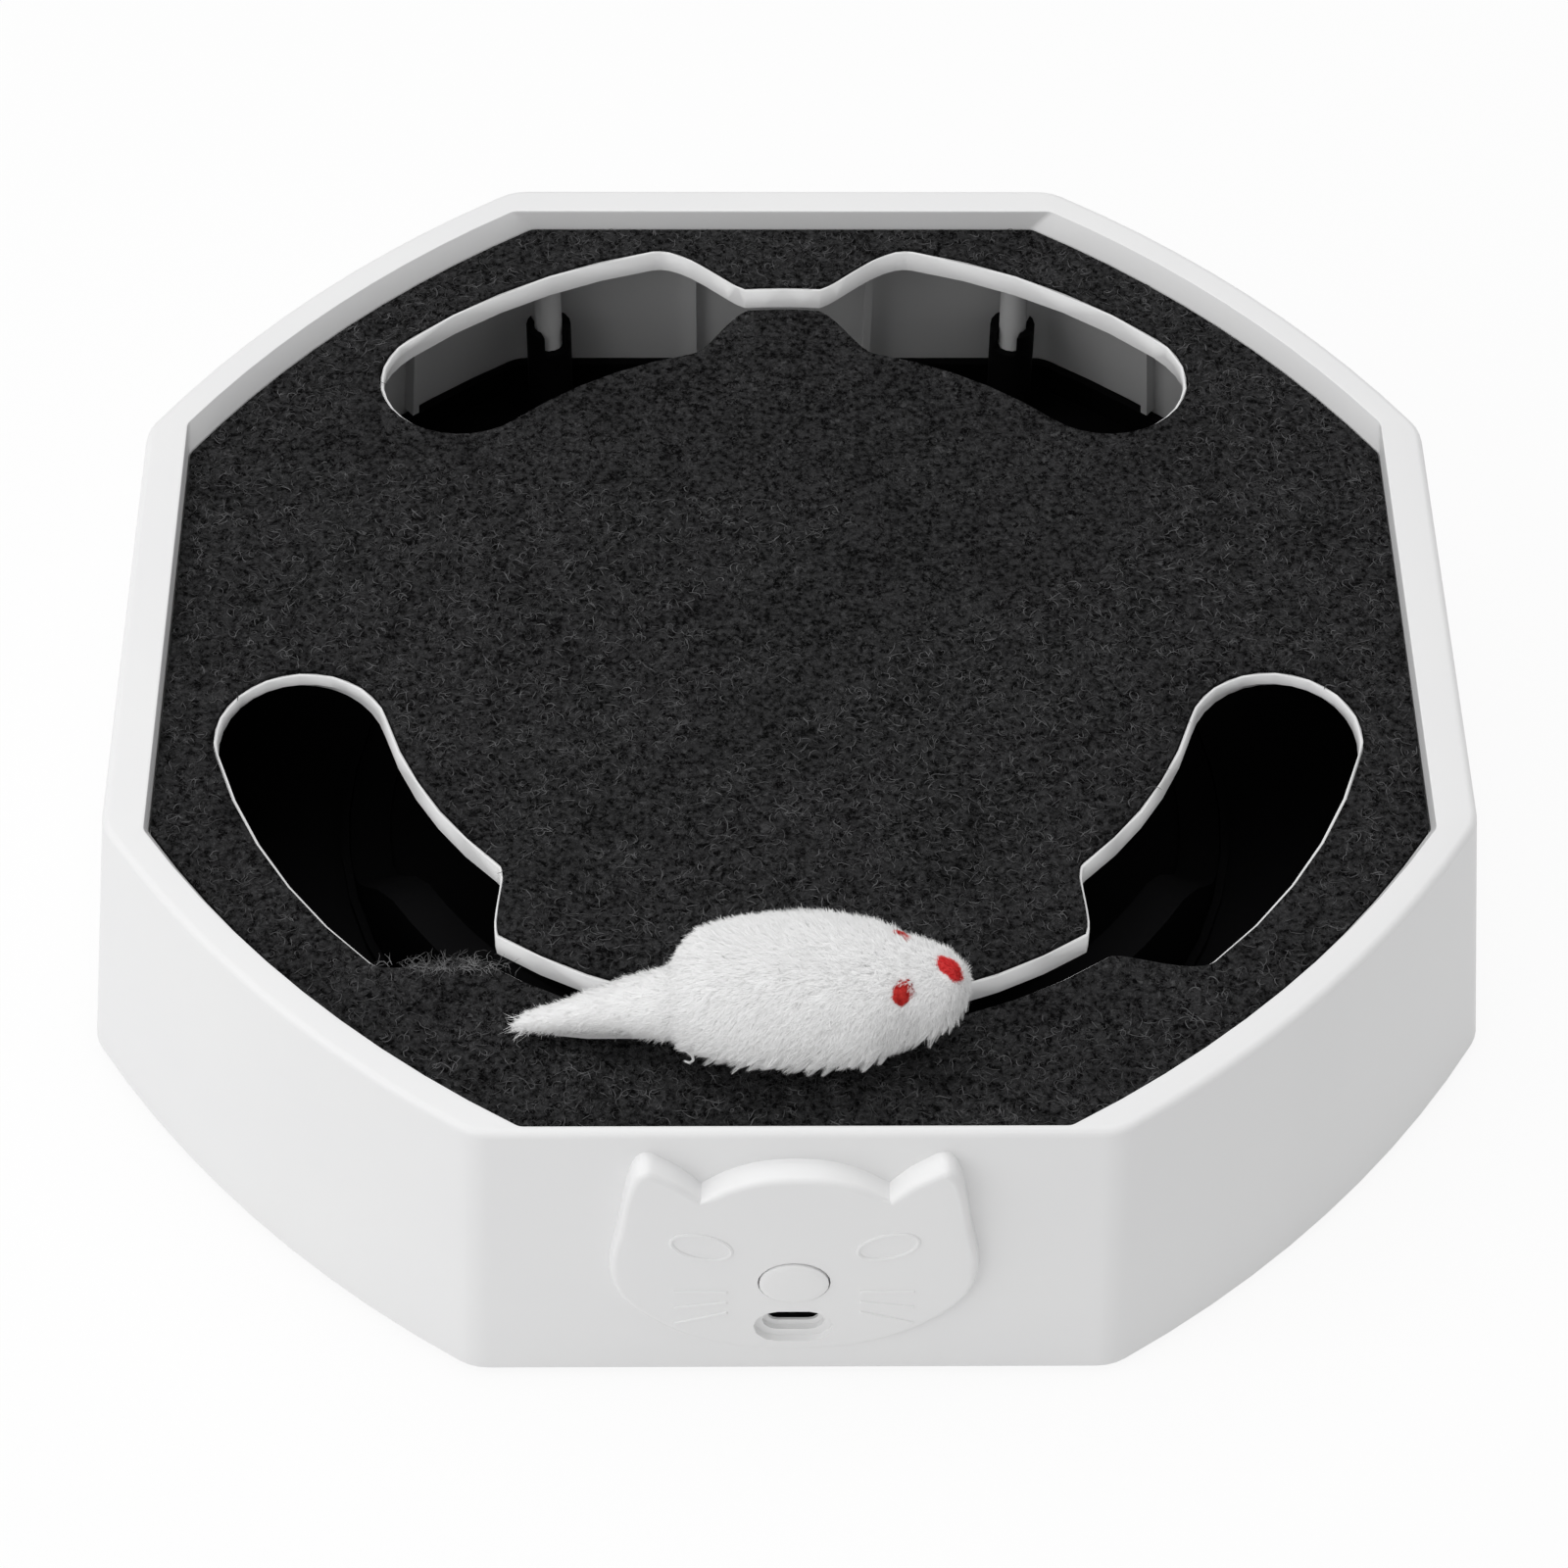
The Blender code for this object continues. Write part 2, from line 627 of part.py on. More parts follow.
def smooth_through(points, steps):
    """A smooth open curve through points, by Catmull-Rom."""
    found = []
    for i in range(len(points) - 1):
        before = points[max(i - 1, 0)]
        after = points[min(i + 2, len(points) - 1)]
        for step in range(steps):
            t = step / steps
            terms = []
            for p0, p1, p2, p3 in zip(before, points[i], points[i + 1], after):
                bend = (2 * p0 - 5 * p1 + 4 * p2 - p3) * t**2 + (3 * p1 - p0 - 3 * p2 + p3) * t**3
                terms.append(p1 + ((p2 - p0) * t + bend) / 2)
            found.append(tuple(terms))
    found.append(tuple(points[-1]))
    return found


def head_outline():
    """Right half of the cat head from the chin up, mirrored to a whole outline of (x, height)."""
    cheek_shares = [(0, 0), (0.3, 0.02), (0.58, 0.09), (0.8, 0.2), (0.95, 0.33), (1, 0.48), (0.975, 0.61)]
    cheek_shares += [(0.949, 0.69)]
    ear_shares = [(0.949, 0.69), (0.924, 0.81), (0.897, 0.91), (0.865, 0.985), (0.825, 1.025)]
    ear_shares += [(0.775, 1.033), (0.715, 1.01), (0.61, 0.958)]
    valley_shares = [(0.61, 0.958), (0.5, 0.88)]
    crown_shares = [(0.5, 0.88), (0.37, 0.94), (0.24, 0.978), (0.12, 0.996), (0, 1)]
    shares = smooth_through(cheek_shares, 2)[:-1] + smooth_through(ear_shares, 2)[:-1]
    shares += valley_shares[:-1] + smooth_through(crown_shares, 2)
    right = [(x * HEAD_HALF_WIDTH, HEAD_BOTTOM + z * HEAD_HEIGHT) for x, z in shares]
    left = [(-x, z) for x, z in right[-2:0:-1]]
    return right + left


def face_y(z):
    """The plane of the cat's face: nearly upright, well proud of the wall at the crown."""
    crown = HEAD_BOTTOM + HEAD_HEIGHT
    top = END_FLAT + draft_at(crown) + HEAD_PROUD_TOP
    low = END_FLAT + draft_at(HEAD_BOTTOM) + HEAD_PROUD_BOTTOM
    return -(low + (top - low) * (z - HEAD_BOTTOM) / HEAD_HEIGHT)


def inset_outline(points, inset):
    """Moves each point of an anticlockwise outline inwards, square to its neighbours."""
    found = []
    count = len(points)
    for i, (x, z) in enumerate(points):
        before = points[i - 1]
        after = points[(i + 1) % count]
        along = Vector((after[0] - before[0], after[1] - before[1])).normalized()
        found.append((x - along.y * inset, z + along.x * inset))
    return found


def cat_head():
    bm = bmesh.new()
    outline = head_outline()
    loops = [[(x, -(END_FLAT + draft_at(z) - WALL / 2), z) for x, z in outline]]
    for turn in (0, 30, 60, 90):
        angle = math.radians(turn)
        inset = HEAD_ROUND * (1 - math.cos(angle))
        back = HEAD_ROUND * (1 - math.sin(angle))
        loops.append([(x, face_y(z) + back, z) for x, z in inset_outline(outline, inset)])
    loft(bm, loops)
    caps = [face for face in bm.faces if len(face.verts) == len(outline)]
    bmesh.ops.triangulate(bm, faces=caps)
    return bm


def ridge(bm, path, closed):
    """A low rounded line standing on the cat's face."""
    if not closed:
        start, end = (Vector(p) for p in path)
        along = (end - start).normalized()
        side = Vector((-along.y, along.x)) * RIDGE_HALF
        rows = []
        for lift, narrow in ((-RIDGE_PROUD, 1), (RIDGE_PROUD / 2, 0.9), (RIDGE_PROUD, 0.45)):
            reach = along * RIDGE_HALF * narrow
            across = side * narrow
            corners = [start - reach - across, end + reach - across, end + reach + across, start - reach + across]
            rows.append([(c.x, face_y(c.y) - lift, c.y) for c in corners])
        part = bmesh.new()
        loft(part, rows)
        merge(bm, part)
        return
    section = ((-1, -1), (-0.9, 0.5), (0, 1), (0.9, 0.5), (1, -1))
    rings = []
    for i, (x, z) in enumerate(path):
        before = path[i - 1]
        after = path[(i + 1) % len(path)]
        along = Vector((after[0] - before[0], after[1] - before[1])).normalized()
        out = Vector((along.y, -along.x)) * RIDGE_HALF
        ring = []
        for side, lift in section:
            px = x + out.x * side
            pz = z + out.y * side
            ring.append((px, face_y(pz) - lift * RIDGE_PROUD, pz))
        rings.append(ring)
    part = bmesh.new()
    loft(part, rings, closed=True)
    merge(bm, part)


def face_ridges():
    """Almond rings for the eyes and three whisker lines on each side."""
    bm = bmesh.new()
    steps = 20
    for side in (-1, 1):
        tilt = math.radians(side * EYE_TILT_DEG)
        ring = []
        for i in range(steps):
            angle = math.tau * i / steps
            along = EYE_HALF_LENGTH * math.cos(angle)
            across = EYE_HALF_WIDTH * math.sin(angle)
            ring.append(
                (
                    side * EYE_ALONG + along * math.cos(tilt) - across * math.sin(tilt),
                    EYE_HEIGHT + along * math.sin(tilt) + across * math.cos(tilt),
                )
            )
        ridge(bm, ring, closed=True)
        for row in (-1, 0, 1):
            inner = (side * WHISKER_INNER, WHISKER_INNER_HEIGHT + row * WHISKER_INNER_STEP)
            outer = (side * WHISKER_OUTER, WHISKER_OUTER_HEIGHT + row * WHISKER_OUTER_STEP)
            ridge(bm, (inner, outer), closed=False)
    return bm


def stadium(half_width, half_height, steps=6):
    """A slot outline of (x, z) with round ends."""
    straight = half_width - half_height
    points = arc_points((straight, 0), half_height, -math.pi / 2, math.pi / 2, steps)
    points += arc_points((-straight, 0), half_height, math.pi / 2, math.pi * 1.5, steps)
    return points


def ellipse(half_width, half_height, steps=ROUND_STEPS):
    return [
        (half_width * math.cos(a), half_height * math.sin(a))
        for a in (math.tau * i / steps for i in range(steps))
    ]


def along_y(bm, sections, height, centre_x=0):
    """Lofts (x, z) outlines placed at given y values."""
    part = bmesh.new()
    loft(part, [[(centre_x + x, y, height + z) for x, z in outline] for outline, y in sections])
    merge(bm, part)
    return bm


def port_floor():
    return face_y(PORT_HEIGHT) + PORT_DEPTH


def board_front():
    """The y of the circuit board's front face, behind the charging socket."""
    return socket_mouth() + SOCKET_LENGTH + GAP


def socket_mouth():
    return -(END_FLAT + draft_at(PORT_HEIGHT + PORT_HALF_HEIGHT) - WALL) + GAP


def front_holes():
    """The nose button's hole and the stepped recess of the charging port."""
    bm = bmesh.new()
    front = face_y(NOSE_HEIGHT) - OVERRUN
    back = -(END_FLAT - WALL)
    nose = ellipse(NOSE_HALF_WIDTH + GAP, NOSE_HALF_HEIGHT + GAP)
    along_y(bm, [(nose, front), (nose, back)], NOSE_HEIGHT)
    port_face = face_y(PORT_HEIGHT)
    outer = stadium(PORT_HALF_WIDTH, PORT_HALF_HEIGHT)
    inner = stadium(PORT_INNER_HALF_WIDTH, PORT_INNER_HALF_HEIGHT)
    mouth = stadium(SOCKET_HALF_WIDTH + TINY, SOCKET_HALF_HEIGHT + TINY)
    sections = [
        (outer, port_face - OVERRUN),
        (outer, port_face + PORT_STEP_DEPTH),
        (inner, port_face + PORT_STEP_DEPTH + TINY),
        (inner, port_floor() - TINY),
        (mouth, port_floor()),
        (mouth, back),
    ]
    along_y(bm, sections, PORT_HEIGHT)
    return bm


def shell_pilots():
    bm = bmesh.new()
    radius = SCREW_SHANK_RADIUS + GAP
    for place in corner_places():
        profile = [(0, BOSS_END - OVERRUN), (radius, BOSS_END - OVERRUN)]
        profile += [(radius, BOSS_END + PILOT_DEPTH), (0, BOSS_END + PILOT_DEPTH)]
        lathe(bm, profile, 12, place)
    small = SMALL_SHANK_RADIUS + GAP
    start = -board_front() - OVERRUN
    for side in (-1, 1):
        profile = [(0, start), (small, start)]
        profile += [(small, start + SMALL_SHANK + OVERRUN), (0, start + SMALL_SHANK + OVERRUN)]
        place = (side * BOARD_SCREW_ALONG, 0, BOARD_SCREW_HEIGHT)
        lathe(bm, profile, 12, place, axis="Y")
    return bm


def make_shell():
    """Drafted wall, rounded rim, recess and deck as one moulding, then its openings and bosses."""
    loops = [wall_outline(WALL, DECK_UNDER), wall_outline(WALL, FOOT_DROP), wall_outline(0, FOOT_DROP)]
    for turn in (0, 30, 60, 90):
        angle = math.radians(turn)
        z = RIM_TOP - RIM_ROUND * (1 - math.sin(angle))
        loops.append(wall_outline(RIM_ROUND * (1 - math.cos(angle)), z))
    for turn in (90, 45, 0):
        angle = math.radians(turn)
        z = RIM_TOP - RIM_INNER_ROUND * (1 - math.sin(angle))
        loops.append(recess_outline(RIM_INNER_ROUND * (1 - math.cos(angle)), z, RECESS_LEAN))
    loops.append(recess_outline(0, FELT_TOP))
    loops.append(recess_outline(0, DECK_TOP))
    shell = add_object("upper_shell", loft(bmesh.new(), loops), "white_plastic")
    boolean(shell, add_cutter("cat head", cat_head()), "UNION")
    boolean(shell, add_cutter("face ridges", face_ridges()), "UNION")
    boolean(shell, add_cutter("wall ribs", wall_ribs()), "UNION")
    boolean(shell, add_cutter("bosses", shell_bosses()), "UNION")
    boolean(shell, add_cutter("front holes", front_holes()))
    boolean(shell, add_cutter("pilot holes", shell_pilots()))
    collars = openings_cutter("collars", GAP, DECK_TOP - OVERRUN, DECK_TOP, FELT_TOP - COLLAR_DROP, 0)
    boolean(shell, collars, "UNION")
    low = DECK_UNDER - OVERRUN
    boolean(shell, openings_cutter("deck openings", LEDGE, low, DECK_TOP - TINY, RIM_TOP, UNDERCUT))


def make_felt():
    bottom = DECK_TOP + GAP
    loops = [recess_outline(-FELT_GAP, bottom), recess_outline(-FELT_GAP, FELT_TOP)]
    felt = add_object("felt_pad", loft(bmesh.new(), loops), "felt")
    high = FELT_TOP + OVERRUN
    boolean(felt, openings_cutter("felt openings", 0, bottom - OVERRUN, DECK_TOP + FELT_THICK / 2, high, 0))


def tray_posts():
    """Round posts with a cup at the top, one under each boss."""
    bm = bmesh.new()
    cup = BOSS_RADIUS + GAP
    outer = cup + EAR_WALL
    for place in corner_places():
        profile = [(0, FLOOR_TOP - OVERRUN), (outer, FLOOR_TOP - OVERRUN), (outer, EAR_TOP)]
        profile += [(cup, EAR_TOP), (cup, BOSS_END - GAP), (0, BOSS_END - GAP)]
        lathe(bm, profile, SMALL_STEPS, place)
    lathe(
        bm,
        [
            (0, FLOOR_TOP - OVERRUN),
            (SPINDLE_BOSS_RADIUS, FLOOR_TOP - OVERRUN),
            (SPINDLE_BOSS_RADIUS, SPINDLE_BOSS_TOP),
            (0, SPINDLE_BOSS_TOP),
        ],
    )
    profile = [(0, FLOOR_TOP - OVERRUN), (IDLER_BOSS_RADIUS, FLOOR_TOP - OVERRUN)]
    profile += [(IDLER_BOSS_RADIUS, IDLER_BOSS_TOP), (0, IDLER_BOSS_TOP)]
    lathe(bm, profile, SMALL_STEPS, (0, IDLER_BACK))
    for side in (-1, 1):
        profile = [(0, FLOOR_TOP - OVERRUN), (PILLAR_RADIUS, FLOOR_TOP - OVERRUN)]
        profile += [(PILLAR_RADIUS, BRACKET_BOTTOM - GAP), (0, BRACKET_BOTTOM - GAP)]
        lathe(bm, profile, SMALL_STEPS, (side * BRACKET_SCREW_ALONG, MOTOR_BACK))
    inner = CAM_OUTER + GAP
    profile = [(inner, FLOOR_TOP - OVERRUN), (inner + LOCATOR_WALL, FLOOR_TOP - OVERRUN)]
    profile += [(inner + LOCATOR_WALL, FLOOR_TOP + LOCATOR_HEIGHT), (inner, FLOOR_TOP + LOCATOR_HEIGHT)]
    lathe(bm, profile, 48)
    return bm


def tray_cuts():
    """Screw wells from below, the cradles' channels and the blind holes of the axles."""
    bm = bmesh.new()
    well = SCREW_HEAD_RADIUS + 2 * GAP
    hole = SCREW_SHANK_RADIUS + GAP
    for x, y in corner_places():
        profile = [(0, FOOT_DROP - OVERRUN), (well, FOOT_DROP - OVERRUN), (well, SCREW_SEAT)]
        profile += [(hole, SCREW_SEAT), (hole, BOSS_END + GAP), (0, BOSS_END + GAP)]
        lathe(bm, profile, SMALL_STEPS, (x, y))
    for radius, place, top in (
        (SPINDLE_RADIUS + SHAFT_GAP, (0, 0), SPINDLE_BOSS_TOP),
        (IDLER_AXLE_RADIUS + SHAFT_GAP, (0, IDLER_BACK), IDLER_BOSS_TOP),
    ):
        profile = [(0, SPINDLE_SEAT), (radius, SPINDLE_SEAT), (radius, top + OVERRUN), (0, top + OVERRUN)]
        lathe(bm, profile, ROUND_STEPS, place)
    small = SMALL_SHANK_RADIUS + GAP
    for side in (-1, 1):
        top = BRACKET_BOTTOM
        profile = [(0, top - SMALL_SHANK - GAP), (small, top - SMALL_SHANK - GAP)]
        profile += [(small, top + OVERRUN), (0, top + OVERRUN)]
        lathe(bm, profile, 12, (side * BRACKET_SCREW_ALONG, MOTOR_BACK))
    return bm


def cradle_channels():
    bm = bmesh.new()
    reach = BOSS_RADIUS + GAP + EAR_WALL + OVERRUN
    for x, y in corner_places():
        part = bmesh.new()
        low = (-reach, -EAR_CHANNEL / 2, BOSS_END + 2 * GAP)
        high = (reach, EAR_CHANNEL / 2, EAR_TOP + OVERRUN)
        box(part, low, high)
        part.transform(Matrix.Rotation(math.atan2(y, x), 4, "Z"))
        part.transform(Matrix.Translation((x, y, 0)))
        merge(bm, part)
    return bm


def make_tray():
    inset = WALL + TRAY_GAP
    loops = [
        wall_outline(inset, FOOT_DROP),
        wall_outline(inset, TRAY_TOP),
        wall_outline(inset + TRAY_WALL, TRAY_TOP),
        wall_outline(inset + TRAY_WALL, FLOOR_TOP),
    ]
    tray = add_object("base_tray", loft(bmesh.new(), loops), "black_plastic")
    boolean(tray, add_cutter("posts", tray_posts()), "UNION")
    boolean(tray, add_cutter("cradle channels", cradle_channels()))
    boolean(tray, add_cutter("tray cuts", tray_cuts()))
    boolean(tray, add_cutter("tray tunnels", lead_tunnels(FLOOR_TOP)))


def make_feet():
    for number, (sx, sy) in enumerate(((-1, -1), (1, -1), (1, 1), (-1, 1)), 1):
        top = FOOT_DROP - GAP
        profile = [(0, 0), (FOOT_RADIUS - FOOT_CHAMFER, 0), (FOOT_RADIUS, FOOT_CHAMFER)]
        profile += [(FOOT_RADIUS, top), (0, top)]
        bm = lathe(bmesh.new(), profile, ROUND_STEPS, (sx * FOOT_ALONG, sy * FOOT_ALONG))
        add_object(f"foot_{number}", bm, "rubber")


def screw(name, shank_radius, shank, head_radius, head, place, direction):
    """A pan-head screw with a cross slot, its head's seat at the place."""
    profile = [(0, -head), (head_radius * 0.7, -head), (head_radius, -head * 0.6), (head_radius, 0)]
    profile += [(shank_radius, 0), (shank_radius, shank - shank_radius), (0.3 * shank_radius, shank), (0, shank)]
    bm = lathe(bmesh.new(), profile, 12)
    if direction == "back":
        bm.transform(Matrix.Rotation(math.radians(90), 4, "X"))
    elif direction == "down":
        bm.transform(Matrix.Rotation(math.pi, 4, "X"))
    bm.transform(Matrix.Translation(place))
    return add_object(name, bm, "steel", place)


def make_case_screws():
    for number, (x, y) in enumerate(corner_places(), 1):
        place = (x, y, SCREW_SEAT - GAP)
        made = screw(
            f"case_screw_{number}", SCREW_SHANK_RADIUS, SCREW_SHANK, SCREW_HEAD_RADIUS, SCREW_HEAD, place, "up"
        )
        cut = bmesh.new()
        under = place[2] - SCREW_HEAD - OVERRUN
        for half_x, half_y in ((SCREW_HEAD_RADIUS * 0.6, SCREW_SLOT / 2), (SCREW_SLOT / 2, SCREW_HEAD_RADIUS * 0.6)):
            low = (x - half_x, y - half_y, under)
            box(cut, low, (x + half_x, y + half_y, place[2] - SCREW_HEAD / 2))
        cross = add_cutter(f"cross {number}", cut)
        boolean(made, cross)
        made.modifiers[-1].use_self = True


def cam_height(deg):
    """Height of the track's top at an angle from the front: level, falling, low, then up at the back."""
    deg = abs(deg)

    def ease(share):
        share = min(max(share, 0), 1)
        return share * share * (3 - 2 * share)

    front = 1 - ease((deg - CAM_FRONT_DEG) / CAM_FALL_DEG)
    back = 1 - ease((180 - deg - CAM_BACK_DEG) / CAM_FALL_DEG)
    return CAM_LOW + (CAM_TOP - CAM_LOW) * max(front, back)


def lead_tunnels(low):
    """Two low passages through the cam track and the ring round it."""
    bm = bmesh.new()
    for side in (-1, 1):
        near = -CAM_INNER + 2 * LEAD_BEND
        far = -CAM_OUTER - 2 * LEAD_BEND
        x = side * TUNNEL_ALONG
        box(bm, (x - TUNNEL_HALF, far, low), (x + TUNNEL_HALF, near, FLOOR_TOP + TUNNEL_HEIGHT))
    return bm


def make_cam():
    bottom = FLOOR_TOP + GAP
    loops = []
    for i in range(CAM_STEPS):
        deg = 360 * i / CAM_STEPS - 180
        top = cam_height(deg)
        angle = math.radians(deg - 90)
        section = ((CAM_INNER, bottom), (CAM_OUTER, bottom), (CAM_OUTER, top), (CAM_INNER, top))
        loops.append([(r * math.cos(angle), r * math.sin(angle), z) for r, z in section])
    track = add_object("cam_track", loft(bmesh.new(), loops, closed=True), "black_plastic")
    boolean(track, add_cutter("track tunnels", lead_tunnels(bottom - OVERRUN)))


def make_spindle():
    bottom = SPINDLE_SEAT + GAP
    chamfer = SPINDLE_RADIUS / 5
    profile = [(0, bottom), (SPINDLE_RADIUS, bottom), (SPINDLE_RADIUS, SPINDLE_TOP - chamfer)]
    profile += [(SPINDLE_RADIUS - chamfer, SPINDLE_TOP), (0, SPINDLE_TOP)]
    add_object("spindle", lathe(bmesh.new(), profile), "steel")
    inner = SPINDLE_RADIUS + SHAFT_GAP
    low = SPINDLE_BOSS_TOP + GAP
    ring(name="thrust_washer", inner=inner, outer=WASHER_RADIUS, low=low, high=low + WASHER_THICK, finish="steel")
    ring(
        name="rotor_bush",
        inner=inner,
        outer=SPINDLE_RADIUS + BUSH_WALL,
        low=ROTOR_BOTTOM,
        high=ROTOR_HUB_TOP,
        finish="brass",
    )
    low = ROTOR_HUB_TOP + GAP
    ring(name="spindle_clip", inner=inner, outer=CLIP_RADIUS, low=low, high=low + CLIP_THICK, finish="steel")


def ring(name, inner, outer, low, high, finish):
    profile = [(inner, low), (outer, low), (outer, high), (inner, high)]
    add_object(name, lathe(bmesh.new(), profile), finish)


def gear_outline(teeth, phase_deg):
    """An involute tooth form with play, as a closed outline in plan."""
    pitch = GEAR_MODULE * teeth / 2
    base = pitch * math.cos(math.radians(PRESSURE_DEG))
    tip = pitch + ADDENDUM_SHARE * GEAR_MODULE
    root = pitch - DEDENDUM_SHARE * GEAR_MODULE

    def half_angle(radius):
        def roll(r):
            lean = math.acos(min(1, base / r))
            return math.tan(lean) - lean

        return math.pi / teeth * TOOTH_SHARE + roll(pitch) - roll(max(radius, base))

    points = []
    for tooth in range(teeth):
        middle = math.tau * tooth / teeth + math.radians(phase_deg)
        flank = [(root, half_angle(root)), (pitch, half_angle(pitch)), (tip, half_angle(tip))]
        for radius, half in flank:
            points.append((radius * math.cos(middle - half), radius * math.sin(middle - half)))
        for radius, half in reversed(flank):
            points.append((radius * math.cos(middle + half), radius * math.sin(middle + half)))
    return points


def gear_solid(bm, teeth, phase_deg, centre, low, high):
    part = bmesh.new()
    outline = gear_outline(teeth, phase_deg)
    loft(part, [[(centre[0] + x, centre[1] + y, z) for x, y in outline] for z in (low, high)])
    merge(bm, part)
    return bm


def bore_cut(obj, name, radius, centre, low, high):
    profile = [(0, low - OVERRUN), (radius, low - OVERRUN), (radius, high + OVERRUN), (0, high + OVERRUN)]
    boolean(obj, add_cutter(name, lathe(bmesh.new(), profile, ROUND_STEPS, centre)))


def make_rotor_gear():
    low = ROTOR_BOTTOM
    high = low + GEAR_THICK
    bm = gear_solid(bmesh.new(), ROTOR_TEETH, 90, (0, 0), low, high)
    gear = add_object("rotor_gear", bm, "gear_plastic")
    bore_cut(gear, "rotor gear bore", NECK_RADIUS + SHAFT_GAP, (0, 0), low, high)


def make_rotor():
    """Neck inside the gear, disc above it, hub round the bush and two cheeks for the arm's pin."""
    bore = SPINDLE_RADIUS + BUSH_WALL + SHAFT_GAP
    profile = [
        (bore, ROTOR_BOTTOM),
        (NECK_RADIUS, ROTOR_BOTTOM),
        (NECK_RADIUS, DISC_BOTTOM),
        (ROTOR_DISC_RADIUS, DISC_BOTTOM),
        (ROTOR_DISC_RADIUS, DISC_TOP),
        (ROTOR_HUB_RADIUS, DISC_TOP),
        (ROTOR_HUB_RADIUS, ROTOR_HUB_TOP),
        (bore, ROTOR_HUB_TOP),
    ]
    rotor = add_object("rotor", lathe(bmesh.new(), profile, 32), "black_plastic")
    cheeks = bmesh.new()
    outline = [(-CHEEK_HALF, DISC_TOP - OVERRUN), (CHEEK_HALF, DISC_TOP - OVERRUN)]
    outline += [(y, PIVOT_HEIGHT + z) for y, z in arc_points((0, 0), CHEEK_HALF, 0, math.pi, 8)]
    for side in (-1, 1):
        near = side * CHEEK_INNER
        far = side * (CHEEK_INNER + CHEEK_THICK)
        part = bmesh.new()
        loft(part, [[(x, PIVOT_BACK + y, z) for y, z in outline] for x in (near, far)])
        merge(cheeks, part)
    boolean(rotor, add_cutter("cheeks", cheeks), "UNION")
    boolean(rotor, add_cutter("rotor pin hole", pivot_hole()))


def pivot_hole():
    reach = CHEEK_INNER + CHEEK_THICK + OVERRUN
    radius = ARM_PIN_RADIUS + SHAFT_GAP
    profile = [(0, -reach), (radius, -reach), (radius, reach), (0, reach)]
    return lathe(bmesh.new(), profile, SMALL_STEPS, (0, PIVOT_BACK, PIVOT_HEIGHT), axis="X")


def make_arm_pin():
    reach = CHEEK_INNER + CHEEK_THICK + GAP
    profile = [(0, -reach - PIN_HEAD), (PIN_HEAD_RADIUS, -reach - PIN_HEAD), (PIN_HEAD_RADIUS, -reach)]
    profile += [(ARM_PIN_RADIUS, -reach), (ARM_PIN_RADIUS, reach + PIN_HEAD), (0, reach + PIN_HEAD)]
    place = (0, PIVOT_BACK, PIVOT_HEIGHT)
    add_object("arm_pin", lathe(bmesh.new(), profile, SMALL_STEPS, place, axis="X"), "steel", place)


def frame_limits():
    """The arm's end frame round the roller, as y of its inner end and outer end."""
    half = ROLLER_THICK / 2 + GAP + FRAME_WALL
    return -(CAM_MIDDLE - half), -(CAM_MIDDLE + half)


def make_arm():
    """A beam from the pivot to a frame round the roller, with the stem's socket at its end."""
    low = PIVOT_HEIGHT - ARM_HALF_HEIGHT
    high = PIVOT_HEIGHT + ARM_HALF_HEIGHT
    inner, outer = frame_limits()
    beam = box(bmesh.new(), (-ARM_HALF_WIDTH, inner - OVERRUN, low), (ARM_HALF_WIDTH, PIVOT_BACK, high))
    arm = add_object("mouse_arm", beam, "black_plastic", (0, PIVOT_BACK, PIVOT_HEIGHT))
    eye_half = CHEEK_INNER - GAP
    profile = [(0, -eye_half), (ARM_EYE_RADIUS, -eye_half), (ARM_EYE_RADIUS, eye_half), (0, eye_half)]
    place = (0, PIVOT_BACK, PIVOT_HEIGHT)
    boolean(arm, add_cutter("arm eye", lathe(bmesh.new(), profile, SMALL_STEPS, place, axis="X")), "UNION")
    frame_half = ROLLER_RADIUS + FRAME_PLAY + FRAME_WALL
    frame = box(bmesh.new(), (-frame_half, outer, low), (frame_half, inner, high))
    boolean(arm, add_cutter("arm frame", frame), "UNION")
    near = (-STEM_SOCKET_RADIUS, -TRACK_RADIUS, low + TINY)
    neck = box(bmesh.new(), near, (STEM_SOCKET_RADIUS, outer + OVERRUN, high - TINY))
    boolean(arm, add_cutter("arm neck", neck), "UNION")
    socket_low = low
    profile = [(0, socket_low), (STEM_SOCKET_RADIUS, socket_low)]
    profile += [(STEM_SOCKET_RADIUS, high), (0, high)]
    socket = lathe(bmesh.new(), profile, SMALL_STEPS, (0, -TRACK_RADIUS))
    boolean(arm, add_cutter("stem socket", socket), "UNION")
    cuts = bmesh.new()
    window = ROLLER_RADIUS + FRAME_PLAY
    box(
        cuts,
        (-window, outer + FRAME_WALL, low - OVERRUN),
        (window, inner - FRAME_WALL, high + OVERRUN),
    )
    radius = STEM_RADIUS + SHAFT_GAP
    seat = high - STEM_SEAT
    profile = [(0, seat), (radius, seat), (radius, high + 2 * OVERRUN), (0, high + 2 * OVERRUN)]
    lathe(cuts, profile, SMALL_STEPS, (0, -TRACK_RADIUS))
    boolean(arm, add_cutter("arm cuts", cuts))
    boolean(arm, add_cutter("arm pin hole", pivot_hole()))
    radius = ROLLER_AXLE_RADIUS + SHAFT_GAP
    profile = [(0, -inner - OVERRUN), (radius, -inner - OVERRUN), (radius, -outer + TINY), (0, -outer + TINY)]
    axle_hole = lathe(bmesh.new(), profile, 12, (0, 0, ROLLER_HEIGHT), axis="Y")
    boolean(arm, add_cutter("axle hole", axle_hole))


